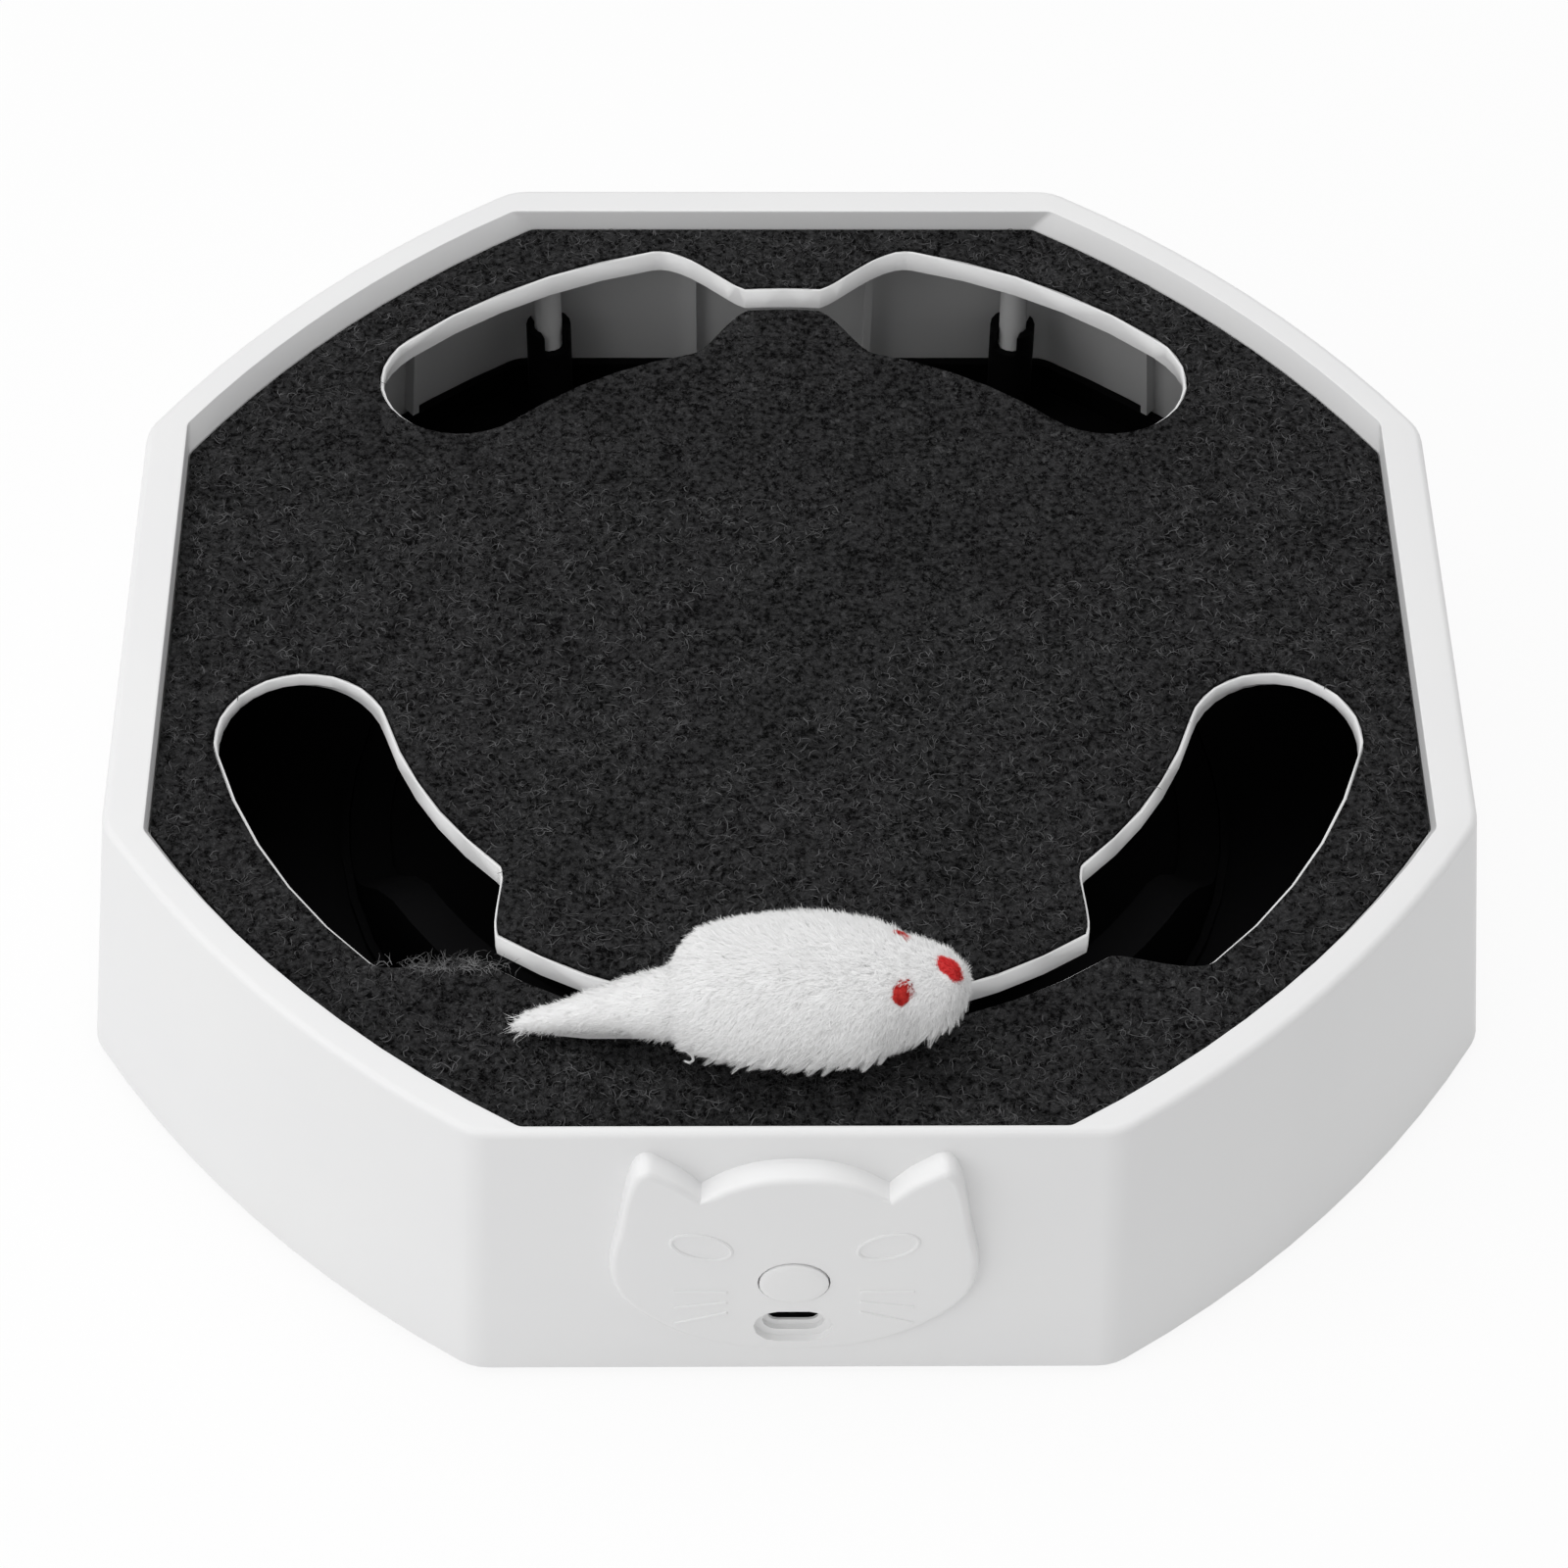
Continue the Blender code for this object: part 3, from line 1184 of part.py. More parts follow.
def make_roller():
    inner, outer = frame_limits()
    place = (0, -CAM_MIDDLE, ROLLER_HEIGHT)
    half = ROLLER_THICK / 2
    bore = ROLLER_AXLE_RADIUS + SHAFT_GAP
    crown = ROLLER_RADIUS / 10
    profile = [(bore, -half), (ROLLER_RADIUS - crown, -half), (ROLLER_RADIUS, -half + crown)]
    profile += [(ROLLER_RADIUS, half - crown), (ROLLER_RADIUS - crown, half), (bore, half)]
    add_object("cam_roller", lathe(bmesh.new(), profile, ROUND_STEPS, place, axis="Y"), "gear_plastic", place)
    profile = [(0, -inner), (ROLLER_AXLE_RADIUS, -inner), (ROLLER_AXLE_RADIUS, -outer - GAP), (0, -outer - GAP)]
    axle = lathe(bmesh.new(), profile, 12, (0, 0, ROLLER_HEIGHT), axis="Y")
    add_object("roller_axle", axle, "steel")


def make_stem():
    low = PIVOT_HEIGHT + ARM_HALF_HEIGHT - STEM_SEAT + GAP
    high = CARRIER_BOTTOM - GAP
    profile = [(0, low), (STEM_RADIUS, low), (STEM_RADIUS, high), (0, high)]
    add_object("mouse_stem", lathe(bmesh.new(), profile, SMALL_STEPS, (0, -TRACK_RADIUS)), "white_plastic")


def make_idler():
    place = (0, IDLER_BACK)
    step = IDLER_BOTTOM + IDLER_GEAR_THICK
    top = ROTOR_BOTTOM + GEAR_THICK
    bm = gear_solid(bmesh.new(), IDLER_TEETH, idler_big_phase(), place, IDLER_BOTTOM, step)
    idler = add_object("idler_gear", bm, "gear_plastic", (0, IDLER_BACK, 0))
    small = gear_solid(bmesh.new(), PINION_TEETH, idler_small_phase(), place, step - TINY, top)
    boolean(idler, add_cutter("idler pinion", small), "UNION")
    bore_cut(idler, "idler bore", IDLER_AXLE_RADIUS + SHAFT_GAP, place, IDLER_BOTTOM, top)
    bottom = SPINDLE_SEAT + GAP
    profile = [(0, bottom), (IDLER_AXLE_RADIUS, bottom), (IDLER_AXLE_RADIUS, top + OVERRUN), (0, top + OVERRUN)]
    add_object("idler_axle", lathe(bmesh.new(), profile, SMALL_STEPS, place), "steel")


def idler_small_phase():
    """The rotor gear has a tooth at the back, so the idler has a space at its front."""
    return -90 + 180 / PINION_TEETH


def idler_big_phase():
    return 90


def motor_phase():
    return -90 + 180 / PINION_TEETH


def make_motor():
    place = (0, MOTOR_BACK)
    pinion_low = IDLER_BOTTOM
    pinion_high = IDLER_BOTTOM + IDLER_GEAR_THICK
    bm = gear_solid(bmesh.new(), PINION_TEETH, motor_phase(), place, pinion_low, pinion_high)
    pinion = add_object("motor_pinion", bm, "brass", (0, MOTOR_BACK, 0))
    bore_cut(pinion, "pinion bore", MOTOR_SHAFT_RADIUS + SHAFT_GAP, place, pinion_low, pinion_high)
    box_low = BRACKET_BOTTOM + BRACKET_BASE + GAP
    box_high = box_low + GEARBOX_HEIGHT
    gearbox = bmesh.new()
    low = (-MOTOR_HALF_WIDTH, MOTOR_BACK - MOTOR_HALF_DEPTH, box_low)
    box(gearbox, low, (MOTOR_HALF_WIDTH, MOTOR_BACK + MOTOR_HALF_DEPTH, box_high))
    made = add_object("motor_gearbox", gearbox, "brass")
    profile = [(0, pinion_low), (MOTOR_SHAFT_RADIUS, pinion_low)]
    profile += [(MOTOR_SHAFT_RADIUS, box_low + OVERRUN), (0, box_low + OVERRUN)]
    boolean(made, add_cutter("motor shaft", lathe(bmesh.new(), profile, SMALL_STEPS, place)), "UNION")
    can = bmesh.new()
    flat = MOTOR_HALF_DEPTH
    outline = []
    for facing in (0, math.pi):
        swing = math.asin(flat / MOTOR_HALF_WIDTH)
        outline += arc_points((0, MOTOR_BACK), MOTOR_HALF_WIDTH, facing - swing, facing + swing, 8)
    can_low = box_high + GAP
    loft(can, [[(x, y, z) for x, y in outline] for z in (can_low, can_low + CAN_HEIGHT)])
    add_object("motor_can", can, "steel")


def make_bracket():
    """A pocket that holds the gearbox, with an ear on each side for a screw."""
    low = BRACKET_BOTTOM
    half_x = MOTOR_HALF_WIDTH + GAP + BRACKET_WALL
    half_y = MOTOR_HALF_DEPTH + GAP + BRACKET_WALL
    top = low + BRACKET_BASE + BRACKET_POCKET
    bm = box(bmesh.new(), (-half_x, MOTOR_BACK - half_y, low), (half_x, MOTOR_BACK + half_y, top))
    bracket = add_object("motor_bracket", bm, "black_plastic")
    ears = bmesh.new()
    reach = BRACKET_SCREW_ALONG + PILLAR_RADIUS
    for side in (-1, 1):
        ends = sorted((side * (half_x - OVERRUN), side * reach))
        box(ears, (ends[0], MOTOR_BACK - PILLAR_RADIUS, low), (ends[1], MOTOR_BACK + PILLAR_RADIUS, low + BRACKET_EAR))
    boolean(bracket, add_cutter("bracket ears", ears), "UNION")
    cuts = bmesh.new()
    pocket_x = MOTOR_HALF_WIDTH + GAP
    pocket_y = MOTOR_HALF_DEPTH + GAP
    box(
        cuts,
        (-pocket_x, MOTOR_BACK - pocket_y, low + BRACKET_BASE),
        (pocket_x, MOTOR_BACK + pocket_y, top + OVERRUN),
    )
    small = SMALL_SHANK_RADIUS + GAP
    for side in (-1, 1):
        profile = [(0, low - OVERRUN), (small, low - OVERRUN), (small, top), (0, top)]
        lathe(cuts, profile, 12, (side * BRACKET_SCREW_ALONG, MOTOR_BACK))
    boolean(bracket, add_cutter("bracket cuts", cuts))
    shaft = MOTOR_SHAFT_RADIUS + GAP
    bore_cut(bracket, "shaft hole", shaft, (0, MOTOR_BACK), low, low + BRACKET_BASE)
    for number, side in enumerate((-1, 1), 1):
        place = (side * BRACKET_SCREW_ALONG, MOTOR_BACK, low + BRACKET_EAR + GAP)
        screw(
            f"bracket_screw_{number}", SMALL_SHANK_RADIUS, SMALL_SHANK, SMALL_HEAD_RADIUS, SMALL_HEAD, place, "down"
        )


def make_battery():
    low = FLOOR_TOP + GAP
    round_edge = BATTERY_HEIGHT / 3
    bm = bmesh.new()
    rows = []
    for turn in (-90, -45, 0):
        angle = math.radians(turn)
        rows.append((round_edge * (1 - math.cos(angle)), low + round_edge * (1 + math.sin(angle))))
    for turn in (0, 45, 90):
        angle = math.radians(turn)
        rows.append((round_edge * (1 - math.cos(angle)), low + BATTERY_HEIGHT - round_edge * (1 - math.sin(angle))))
    loops = []
    for inset, z in rows:
        x = BATTERY_HALF_WIDTH - inset
        front = -BATTERY_FRONT + inset
        back = -BATTERY_BACK - inset
        loops.append([(-x, front, z), (x, front, z), (x, back, z), (-x, back, z)])
    add_object("battery_pack", loft(bm, loops), "battery_wrap")


def make_board():
    front = board_front()
    bm = box(bmesh.new(), (-BOARD_HALF_WIDTH, front, BOARD_BOTTOM), (BOARD_HALF_WIDTH, front + BOARD_THICK, BOARD_TOP))
    board = add_object("circuit_board", bm, "board_green")
    holes = bmesh.new()
    radius = SMALL_SHANK_RADIUS + GAP
    for side in (-1, 1):
        start = -front - BOARD_THICK - OVERRUN
        profile = [(0, start), (radius, start), (radius, -front + OVERRUN), (0, -front + OVERRUN)]
        lathe(holes, profile, 12, (side * BOARD_SCREW_ALONG, 0, BOARD_SCREW_HEIGHT), axis="Y")
    boolean(board, add_cutter("board holes", holes))
    for number, side in enumerate((-1, 1), 1):
        place = (side * BOARD_SCREW_ALONG, front + BOARD_THICK + GAP, BOARD_SCREW_HEIGHT)
        screw(
            f"board_screw_{number}", SMALL_SHANK_RADIUS, SMALL_SHANK, SMALL_HEAD_RADIUS, SMALL_HEAD, place, "back"
        )


def make_socket():
    """A charging socket: a thin metal shell round a tongue, closed at its back."""
    mouth = socket_mouth()
    back = mouth + SOCKET_LENGTH
    outer = stadium(SOCKET_HALF_WIDTH, SOCKET_HALF_HEIGHT)
    bm = along_y(bmesh.new(), [(outer, mouth), (outer, back)], PORT_HEIGHT)
    socket = add_object("usb_socket", bm, "steel")
    inner = stadium(SOCKET_HALF_WIDTH - SOCKET_WALL, SOCKET_HALF_HEIGHT - SOCKET_WALL)
    floor = back - SOCKET_LENGTH / 4
    cut = along_y(bmesh.new(), [(inner, mouth - OVERRUN), (inner, floor)], PORT_HEIGHT)
    boolean(socket, add_cutter("socket mouth", cut))
    low = (-TONGUE_HALF_WIDTH, mouth + SOCKET_WALL, PORT_HEIGHT - TONGUE_HALF_HEIGHT)
    tongue = box(bmesh.new(), low, (TONGUE_HALF_WIDTH, floor + TINY, PORT_HEIGHT + TONGUE_HALF_HEIGHT))
    boolean(socket, add_cutter("socket tongue", tongue), "UNION")


def button_back():
    """The y of the nose button's rear face at rest."""
    top_of_flange = NOSE_HEIGHT + NOSE_HALF_HEIGHT + NOSE_FLANGE
    wall = -(END_FLAT + draft_at(top_of_flange) - WALL)
    return wall + GAP + NOSE_FLANGE_THICK


def make_switch():
    """A tactile switch: its body on the board, and a plunger that the nose button presses in."""
    body_back = board_front() - GAP
    body_front = body_back - SWITCH_BODY
    low = (-SWITCH_HALF, body_front, NOSE_HEIGHT - SWITCH_HALF)
    bm = box(bmesh.new(), low, (SWITCH_HALF, body_back, NOSE_HEIGHT + SWITCH_HALF))
    switch = add_object("switch_body", bm, "black_plastic")
    tip = button_back() + GAP
    end = body_front + PLUNGER_DEPTH
    radius = PLUNGER_RADIUS + SHAFT_GAP
    floor = end + NOSE_TRAVEL + TINY
    profile = [(0, -floor), (radius, -floor), (radius, -body_front + OVERRUN), (0, -body_front + OVERRUN)]
    well = lathe(bmesh.new(), profile, SMALL_STEPS, (0, 0, NOSE_HEIGHT), axis="Y")
    boolean(switch, add_cutter("plunger well", well))
    profile = [(0, -end), (PLUNGER_RADIUS, -end), (PLUNGER_RADIUS, -tip), (0, -tip)]
    plunger = lathe(bmesh.new(), profile, SMALL_STEPS, (0, 0, NOSE_HEIGHT), axis="Y")
    add_object("switch_plunger", plunger, "steel", (0, end, NOSE_HEIGHT))


def make_nose_button():
    face = face_y(NOSE_HEIGHT)
    rear = button_back()
    flange_front = rear - NOSE_FLANGE_THICK
    flange = ellipse(NOSE_HALF_WIDTH + NOSE_FLANGE, NOSE_HALF_HEIGHT + NOSE_FLANGE)
    rows = [
        (flange, rear),
        (flange, flange_front),
        (ellipse(NOSE_HALF_WIDTH, NOSE_HALF_HEIGHT), flange_front),
        (ellipse(NOSE_HALF_WIDTH, NOSE_HALF_HEIGHT), face - NOSE_PROUD),
    ]
    for share, lift_share in ((0.93, 0.45), (0.8, 0.75), (0.5, 0.95)):
        section = ellipse(NOSE_HALF_WIDTH * share, NOSE_HALF_HEIGHT * share)
        rows.append((section, face - NOSE_PROUD - NOSE_DOME * lift_share))
    place = (0, rear, NOSE_HEIGHT)
    add_object("nose_button", along_y(bmesh.new(), rows, NOSE_HEIGHT), "white_plastic", place)


def rounded(sections, x_shift=0):
    """Rings along X from (x, half width, half height, centre height) rows, closed at both tips."""
    loops = []
    steps = 20
    for x, half_y, half_z, middle in sections:
        ring_points = []
        for i in range(steps):
            angle = math.tau * i / steps
            ring_points.append(
                (x + x_shift, MOUSE_Y + half_y * math.cos(angle), middle + half_z * math.sin(angle))
            )
        loops.append(ring_points)
    return loft(bmesh.new(), loops)


def body_sections(grow):
    """The mouse's body: rump at the back, widest before the middle, narrower towards the neck."""
    shares = [
        (-1.0, 0.22, 0.22, -0.1),
        (-0.96, 0.42, 0.45, -0.1),
        (-0.85, 0.66, 0.7, -0.06),
        (-0.62, 0.87, 0.9, -0.02),
        (-0.28, 0.98, 1.0, 0),
        (0.1, 1.0, 1.0, 0),
        (0.45, 0.93, 0.94, 0),
        (0.75, 0.77, 0.82, 0.02),
        (0.93, 0.56, 0.62, 0.04),
        (1.0, 0.3, 0.34, 0.05),
    ]
    rows = []
    for along, wide, tall, rise in shares:
        reach = BODY_FRONT if along > 0 else BODY_BACK
        end = math.copysign(grow, along)
        rows.append(
            (
                along * reach + end,
                wide * MOUSE_HALF_WIDTH + grow,
                tall * MOUSE_HALF_HEIGHT + grow,
                MOUSE_Z + rise * MOUSE_HALF_HEIGHT,
            )
        )
    return rows


def head_sections(grow):
    """The head tapers from the neck to a blunt snout, a little above the body's middle."""
    shares = [(0, 0.72, 0.78, 0.04), (0.3, 0.62, 0.7, 0.08), (0.58, 0.47, 0.56, 0.13)]
    shares += [(0.82, 0.3, 0.38, 0.19), (0.95, 0.17, 0.22, 0.22), (1, 0.07, 0.1, 0.23)]
    rows = []
    for along, wide, tall, rise in shares:
        x = HEAD_START + (HEAD_TIP - HEAD_START) * along
        rows.append(
            (
                x + (grow if along == 1 else 0),
                wide * MOUSE_HALF_WIDTH + grow,
                tall * MOUSE_HALF_HEIGHT + grow,
                MOUSE_Z + rise * MOUSE_HALF_HEIGHT,
            )
        )
    return rows


def tail_sections():
    """The tail tapers from the rump to a point that dips towards the felt."""
    shares = [(0, 0.5, 0.62, -0.24), (0.2, 0.43, 0.55, -0.31), (0.45, 0.31, 0.4, -0.46)]
    shares += [(0.7, 0.2, 0.27, -0.63), (0.9, 0.12, 0.17, -0.76), (1, 0.05, 0.07, -0.82)]
    rows = []
    for along, wide, tall, rise in shares:
        x = -(TAIL_START + (TAIL_TIP - TAIL_START) * along)
        rows.append((x, wide * MOUSE_HALF_WIDTH, tall * MOUSE_HALF_HEIGHT, MOUSE_Z + rise * MOUSE_HALF_HEIGHT))
    return rows


def carrier_outline(grow):
    """A strip with pointed ends, in plan."""
    half = CARRIER_HALF_WIDTH + grow
    back = -CARRIER_BACK - grow
    front = CARRIER_FRONT + grow
    middle = -(TRACK_RADIUS + (CARRIER_HALF_WIDTH - STEM_RADIUS))
    taper = 2 * CARRIER_HALF_WIDTH
    points = [(back, -half * CARRIER_BACK_TIP_SHARE), (back + taper, -half)]
    points += [(front - taper, -half), (front, -half * CARRIER_FRONT_TIP_SHARE)]
    points += [(x, -y) for x, y in reversed(points)]
    return [(x, middle + y) for x, y in points]


def carrier_solid(grow):
    outline = carrier_outline(grow)
    levels = (CARRIER_BOTTOM - grow, CARRIER_TOP + grow)
    return loft(bmesh.new(), [[(x, y, z) for x, y in outline] for z in levels])


def ellipsoid(centre, halves, steps=12):
    rows = []
    for i in range(1, steps // 2 + 2):
        angle = math.pi * i / (steps // 2 + 2)
        rows.append((-math.cos(angle), math.sin(angle)))
    loops = []
    for along, wide in rows:
        loops.append(
            [
                (
                    centre[0] + halves[0] * along,
                    centre[1] + halves[1] * wide * math.cos(math.tau * i / steps),
                    centre[2] + halves[2] * wide * math.sin(math.tau * i / steps),
                )
                for i in range(steps)
            ]
        )
    return loft(bmesh.new(), loops)


def make_mouse():
    add_object("mouse_carrier", carrier_solid(0), "white_plastic")
    slot = add_cutter("carrier room", carrier_solid(GAP))
    body_room = add_cutter("body room", rounded(body_sections(GAP)))
    head_room = add_cutter("head room", rounded(head_sections(GAP)))
    body = add_object("mouse_body", rounded(body_sections(0)), "plush", smooth_deg=80)
    head = add_object("mouse_head", rounded(head_sections(0)), "plush", smooth_deg=80)
    tail = add_object("mouse_tail", rounded(tail_sections()), "plush", smooth_deg=80)
    boolean(head, body_room)
    boolean(tail, body_room)
    for piece in (body, head, tail):
        boolean(piece, slot)
    for name, side in (("mouse_eye_near", -1), ("mouse_eye_far", 1)):
        centre = (
            HEAD_START + (HEAD_TIP - HEAD_START) * EYE_ALONG_SHARE,
            MOUSE_Y + side * MOUSE_HALF_WIDTH * EYE_SIDE_SHARE,
            MOUSE_Z + MOUSE_HALF_HEIGHT * EYE_UP_SHARE,
        )
        halves = (MOUSE_EYE_HALF, MOUSE_EYE_HALF * 0.8, MOUSE_EYE_HALF)
        eye = add_object(name, ellipsoid(centre, halves), "red_felt", smooth_deg=80)
        boolean(eye, head_room)
        boolean(eye, body_room)
    centre = (HEAD_TIP - MOUSE_NOSE_INSET, MOUSE_Y, MOUSE_Z + MOUSE_HALF_HEIGHT * NOSE_UP_SHARE)
    halves = (MOUSE_NOSE_HALF_WIDTH, MOUSE_NOSE_HALF_WIDTH, MOUSE_NOSE_HALF_HEIGHT)
    nose = add_object("mouse_nose", ellipsoid(centre, halves), "red_felt", smooth_deg=80)
    boolean(nose, head_room)


def sweep(route, radius, steps=8):
    """A round wire along a smooth route, its rings turned square to the path."""
    points = [Vector(point) for point in smooth_through(route, 5)]
    side = Vector((0.3, 1, 0.2))
    loops = []
    for i, point in enumerate(points):
        before = points[max(i - 1, 0)]
        after = points[min(i + 1, len(points) - 1)]
        along = (after - before).normalized()
        side = (side - along * side.dot(along)).normalized()
        other = along.cross(side)
        turns = [math.tau * k / steps for k in range(steps)]
        loops.append([point + radius * (math.cos(a) * side + math.sin(a) * other) for a in turns])
    return loft(bmesh.new(), loops)


def make_leads():
    """One lead from the battery to the board, and one from the motor round the rotor to the board."""
    low = FLOOR_TOP + LEAD_RADIUS + GAP
    board_back = board_front() + BOARD_THICK + GAP
    battery_front = -BATTERY_FRONT - GAP
    ends = [
        (-CAM_OUTER - LEAD_BEND, low),
        (board_back + 2 * LEAD_BEND, low),
        (board_back + LEAD_BEND, BOARD_BOTTOM + LEAD_BEND / 2),
        (board_back, BOARD_BOTTOM + LEAD_BEND),
    ]
    to_board = [(0, y, z) for y, z in ends]
    route = [
        (-TUNNEL_ALONG, battery_front, low + LEAD_RADIUS),
        (-TUNNEL_ALONG, battery_front - LEAD_BEND, low),
    ]
    route += [(-TUNNEL_ALONG, y, z) for _, y, z in to_board]
    add_object("battery_lead", sweep(route, LEAD_RADIUS), "red_felt", smooth_deg=60)
    can_top = BRACKET_BOTTOM + BRACKET_BASE + GAP + GEARBOX_HEIGHT + GAP + CAN_HEIGHT + GAP
    route = [
        (MOTOR_HALF_WIDTH / 2, MOTOR_BACK, can_top),
        (MOTOR_HALF_WIDTH / 2 + LEAD_RADIUS, MOTOR_BACK, can_top + LEAD_BEND / 2),
        (MOTOR_HALF_WIDTH + 2 * LEAD_BEND, MOTOR_BACK + LEAD_BEND, can_top - LEAD_BEND),
        (LEAD_SIDE / 2, MOTOR_BACK + LEAD_BEND, PIVOT_HEIGHT / 2),
        (LEAD_SIDE * 0.75, MOTOR_BACK - LEAD_BEND, low + LEAD_BEND),
        (LEAD_SIDE, MOTOR_BACK / 2, low),
        (LEAD_SIDE, -PIVOT_BACK, low),
        (LEAD_SIDE * 0.9, -(BATTERY_FRONT + BATTERY_BACK) / 2, low),
        (LEAD_SIDE * 0.7, -CAM_INNER + 3 * LEAD_BEND, low),
        (TUNNEL_ALONG + LEAD_RADIUS, -CAM_INNER + LEAD_BEND, low),
    ]
    route += [(TUNNEL_ALONG, y, z) for _, y, z in to_board]
    add_object("motor_lead", sweep(route, LEAD_RADIUS), "black_plastic", smooth_deg=60)


def main():
    clear_scene()
    make_shell()
    make_felt()
    make_tray()
    make_feet()
    make_case_screws()
    make_cam()
    make_spindle()
    make_rotor_gear()
    make_rotor()
    make_arm_pin()
    make_arm()
    make_roller()
    make_stem()
    make_idler()
    make_motor()
    make_bracket()
    make_battery()
    make_board()
    make_socket()
    make_switch()
    make_nose_button()
    make_mouse()
    make_leads()


main()
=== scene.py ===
import json
import math

import bmesh
import bpy
import numpy as np
from mathutils import Matrix, Vector, noise as fields
from mathutils.bvhtree import BVHTree
from mathutils.kdtree import KDTree


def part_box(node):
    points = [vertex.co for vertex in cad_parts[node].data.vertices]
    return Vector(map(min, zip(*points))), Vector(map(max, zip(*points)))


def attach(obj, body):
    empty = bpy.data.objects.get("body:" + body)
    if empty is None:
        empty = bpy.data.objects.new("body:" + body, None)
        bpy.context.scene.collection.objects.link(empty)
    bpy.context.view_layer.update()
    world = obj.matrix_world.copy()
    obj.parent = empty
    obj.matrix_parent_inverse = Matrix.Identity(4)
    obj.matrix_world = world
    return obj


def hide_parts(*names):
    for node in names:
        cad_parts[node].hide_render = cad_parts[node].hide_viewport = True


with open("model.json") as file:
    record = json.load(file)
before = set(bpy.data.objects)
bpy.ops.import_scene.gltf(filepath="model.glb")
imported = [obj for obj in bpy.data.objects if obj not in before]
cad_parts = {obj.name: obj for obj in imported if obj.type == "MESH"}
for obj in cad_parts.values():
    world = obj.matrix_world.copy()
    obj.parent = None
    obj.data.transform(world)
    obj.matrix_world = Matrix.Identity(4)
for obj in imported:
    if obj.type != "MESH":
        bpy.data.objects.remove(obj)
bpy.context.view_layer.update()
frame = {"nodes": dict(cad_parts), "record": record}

MM = 0.001
NODES = frame["nodes"]
FELT_LOW, FELT_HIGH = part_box("felt_pad")
FELT_TOP = FELT_HIGH.z
BODY_LOW, BODY_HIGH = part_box("mouse_body")
MOUSE_Y = (BODY_LOW.y + BODY_HIGH.y) / 2
CARRIER_LOW, CARRIER_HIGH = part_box("mouse_carrier")


# Materials

def new_material(name, colour, roughness, metallic=0.0, specular=0.5):
    made = bpy.data.materials.new(name)
    made.use_nodes = True
    shader = made.node_tree.nodes["Principled BSDF"]
    shader.inputs["Base Color"].default_value = (*colour, 1)
    shader.inputs["Roughness"].default_value = roughness
    shader.inputs["Metallic"].default_value = metallic
    shader.inputs["Specular IOR Level"].default_value = specular
    return made, shader


def node(mat, kind, **settings):
    made = mat.node_tree.nodes.new(kind)
    for key, value in settings.items():
        if key in made.inputs:
            made.inputs[key].default_value = value
        else:
            setattr(made, key, value)
    return made


def link(mat, start, end):
    mat.node_tree.links.new(start, end)


def coordinates(mat, stretch=(1, 1, 1)):
    source = node(mat, "ShaderNodeTexCoord")
    scaled = node(mat, "ShaderNodeMapping")
    scaled.inputs["Scale"].default_value = stretch
    link(mat, source.outputs["Object"], scaled.inputs["Vector"])
    return scaled.outputs["Vector"]


def noise(mat, vector, scale, detail, rough, distortion=0.0):
    made = node(mat, "ShaderNodeTexNoise", Scale=scale, Detail=detail, Roughness=rough, Distortion=distortion)
    link(mat, vector, made.inputs["Vector"])
    return made.outputs["Fac"]


def spread(mat, value, low, high, to_low=0.0, to_high=1.0):
    made = node(mat, "ShaderNodeMapRange")
    made.inputs["From Min"].default_value = low
    made.inputs["From Max"].default_value = high
    made.inputs["To Min"].default_value = to_low
    made.inputs["To Max"].default_value = to_high
    link(mat, value, made.inputs["Value"])
    return made.outputs["Result"]


def mix_colour(mat, factor, low, high):
    made = node(mat, "ShaderNodeMix", data_type="RGBA")
    for name, value in (("A", low), ("B", high)):
        socket = [s for s in made.inputs if s.name == name and s.type == "RGBA"][0]
        if isinstance(value, tuple):
            socket.default_value = (*value, 1)
        else:
            link(mat, value, socket)
    link(mat, factor, [s for s in made.inputs if s.name == "Factor" and s.type == "VALUE"][0])
    return [s for s in made.outputs if s.type == "RGBA"][0]


def math_node(mat, operation, first, second):
    made = node(mat, "ShaderNodeMath", operation=operation)
    for socket, value in zip(made.inputs, (first, second)):
        if isinstance(value, (int, float)):
            socket.default_value = value
        else:
            link(mat, value, socket)
    return made.outputs[0]


def bump(mat, shader, height, distance, strength):
    made = node(mat, "ShaderNodeBump", Strength=strength, Distance=distance)
    link(mat, height, made.inputs["Height"])
    link(mat, made.outputs["Normal"], shader.inputs["Normal"])


def moulded_plastic(name, colour, dark, roughness, grain, depth, specular):
    """Moulded plastic: a fine spark-eroded grain, slow flow clouds in colour and gloss."""
    mat, shader = new_material(name, colour, roughness, specular=specular)
    where = coordinates(mat)
    cloud = noise(mat, where, 26, 3, 0.55)
    fine = noise(mat, where, grain, 2, 0.6)
    link(mat, mix_colour(mat, spread(mat, cloud, 0.3, 0.7), dark, colour), shader.inputs["Base Color"])
    drift = spread(mat, cloud, 0.3, 0.7, -0.03, 0.03)
    gloss = math_node(mat, "ADD", drift, spread(mat, fine, 0.3, 0.7, roughness - 0.03, roughness + 0.03))
    link(mat, gloss, shader.inputs["Roughness"])
    bump(mat, shader, fine, depth, 0.35)
    return mat


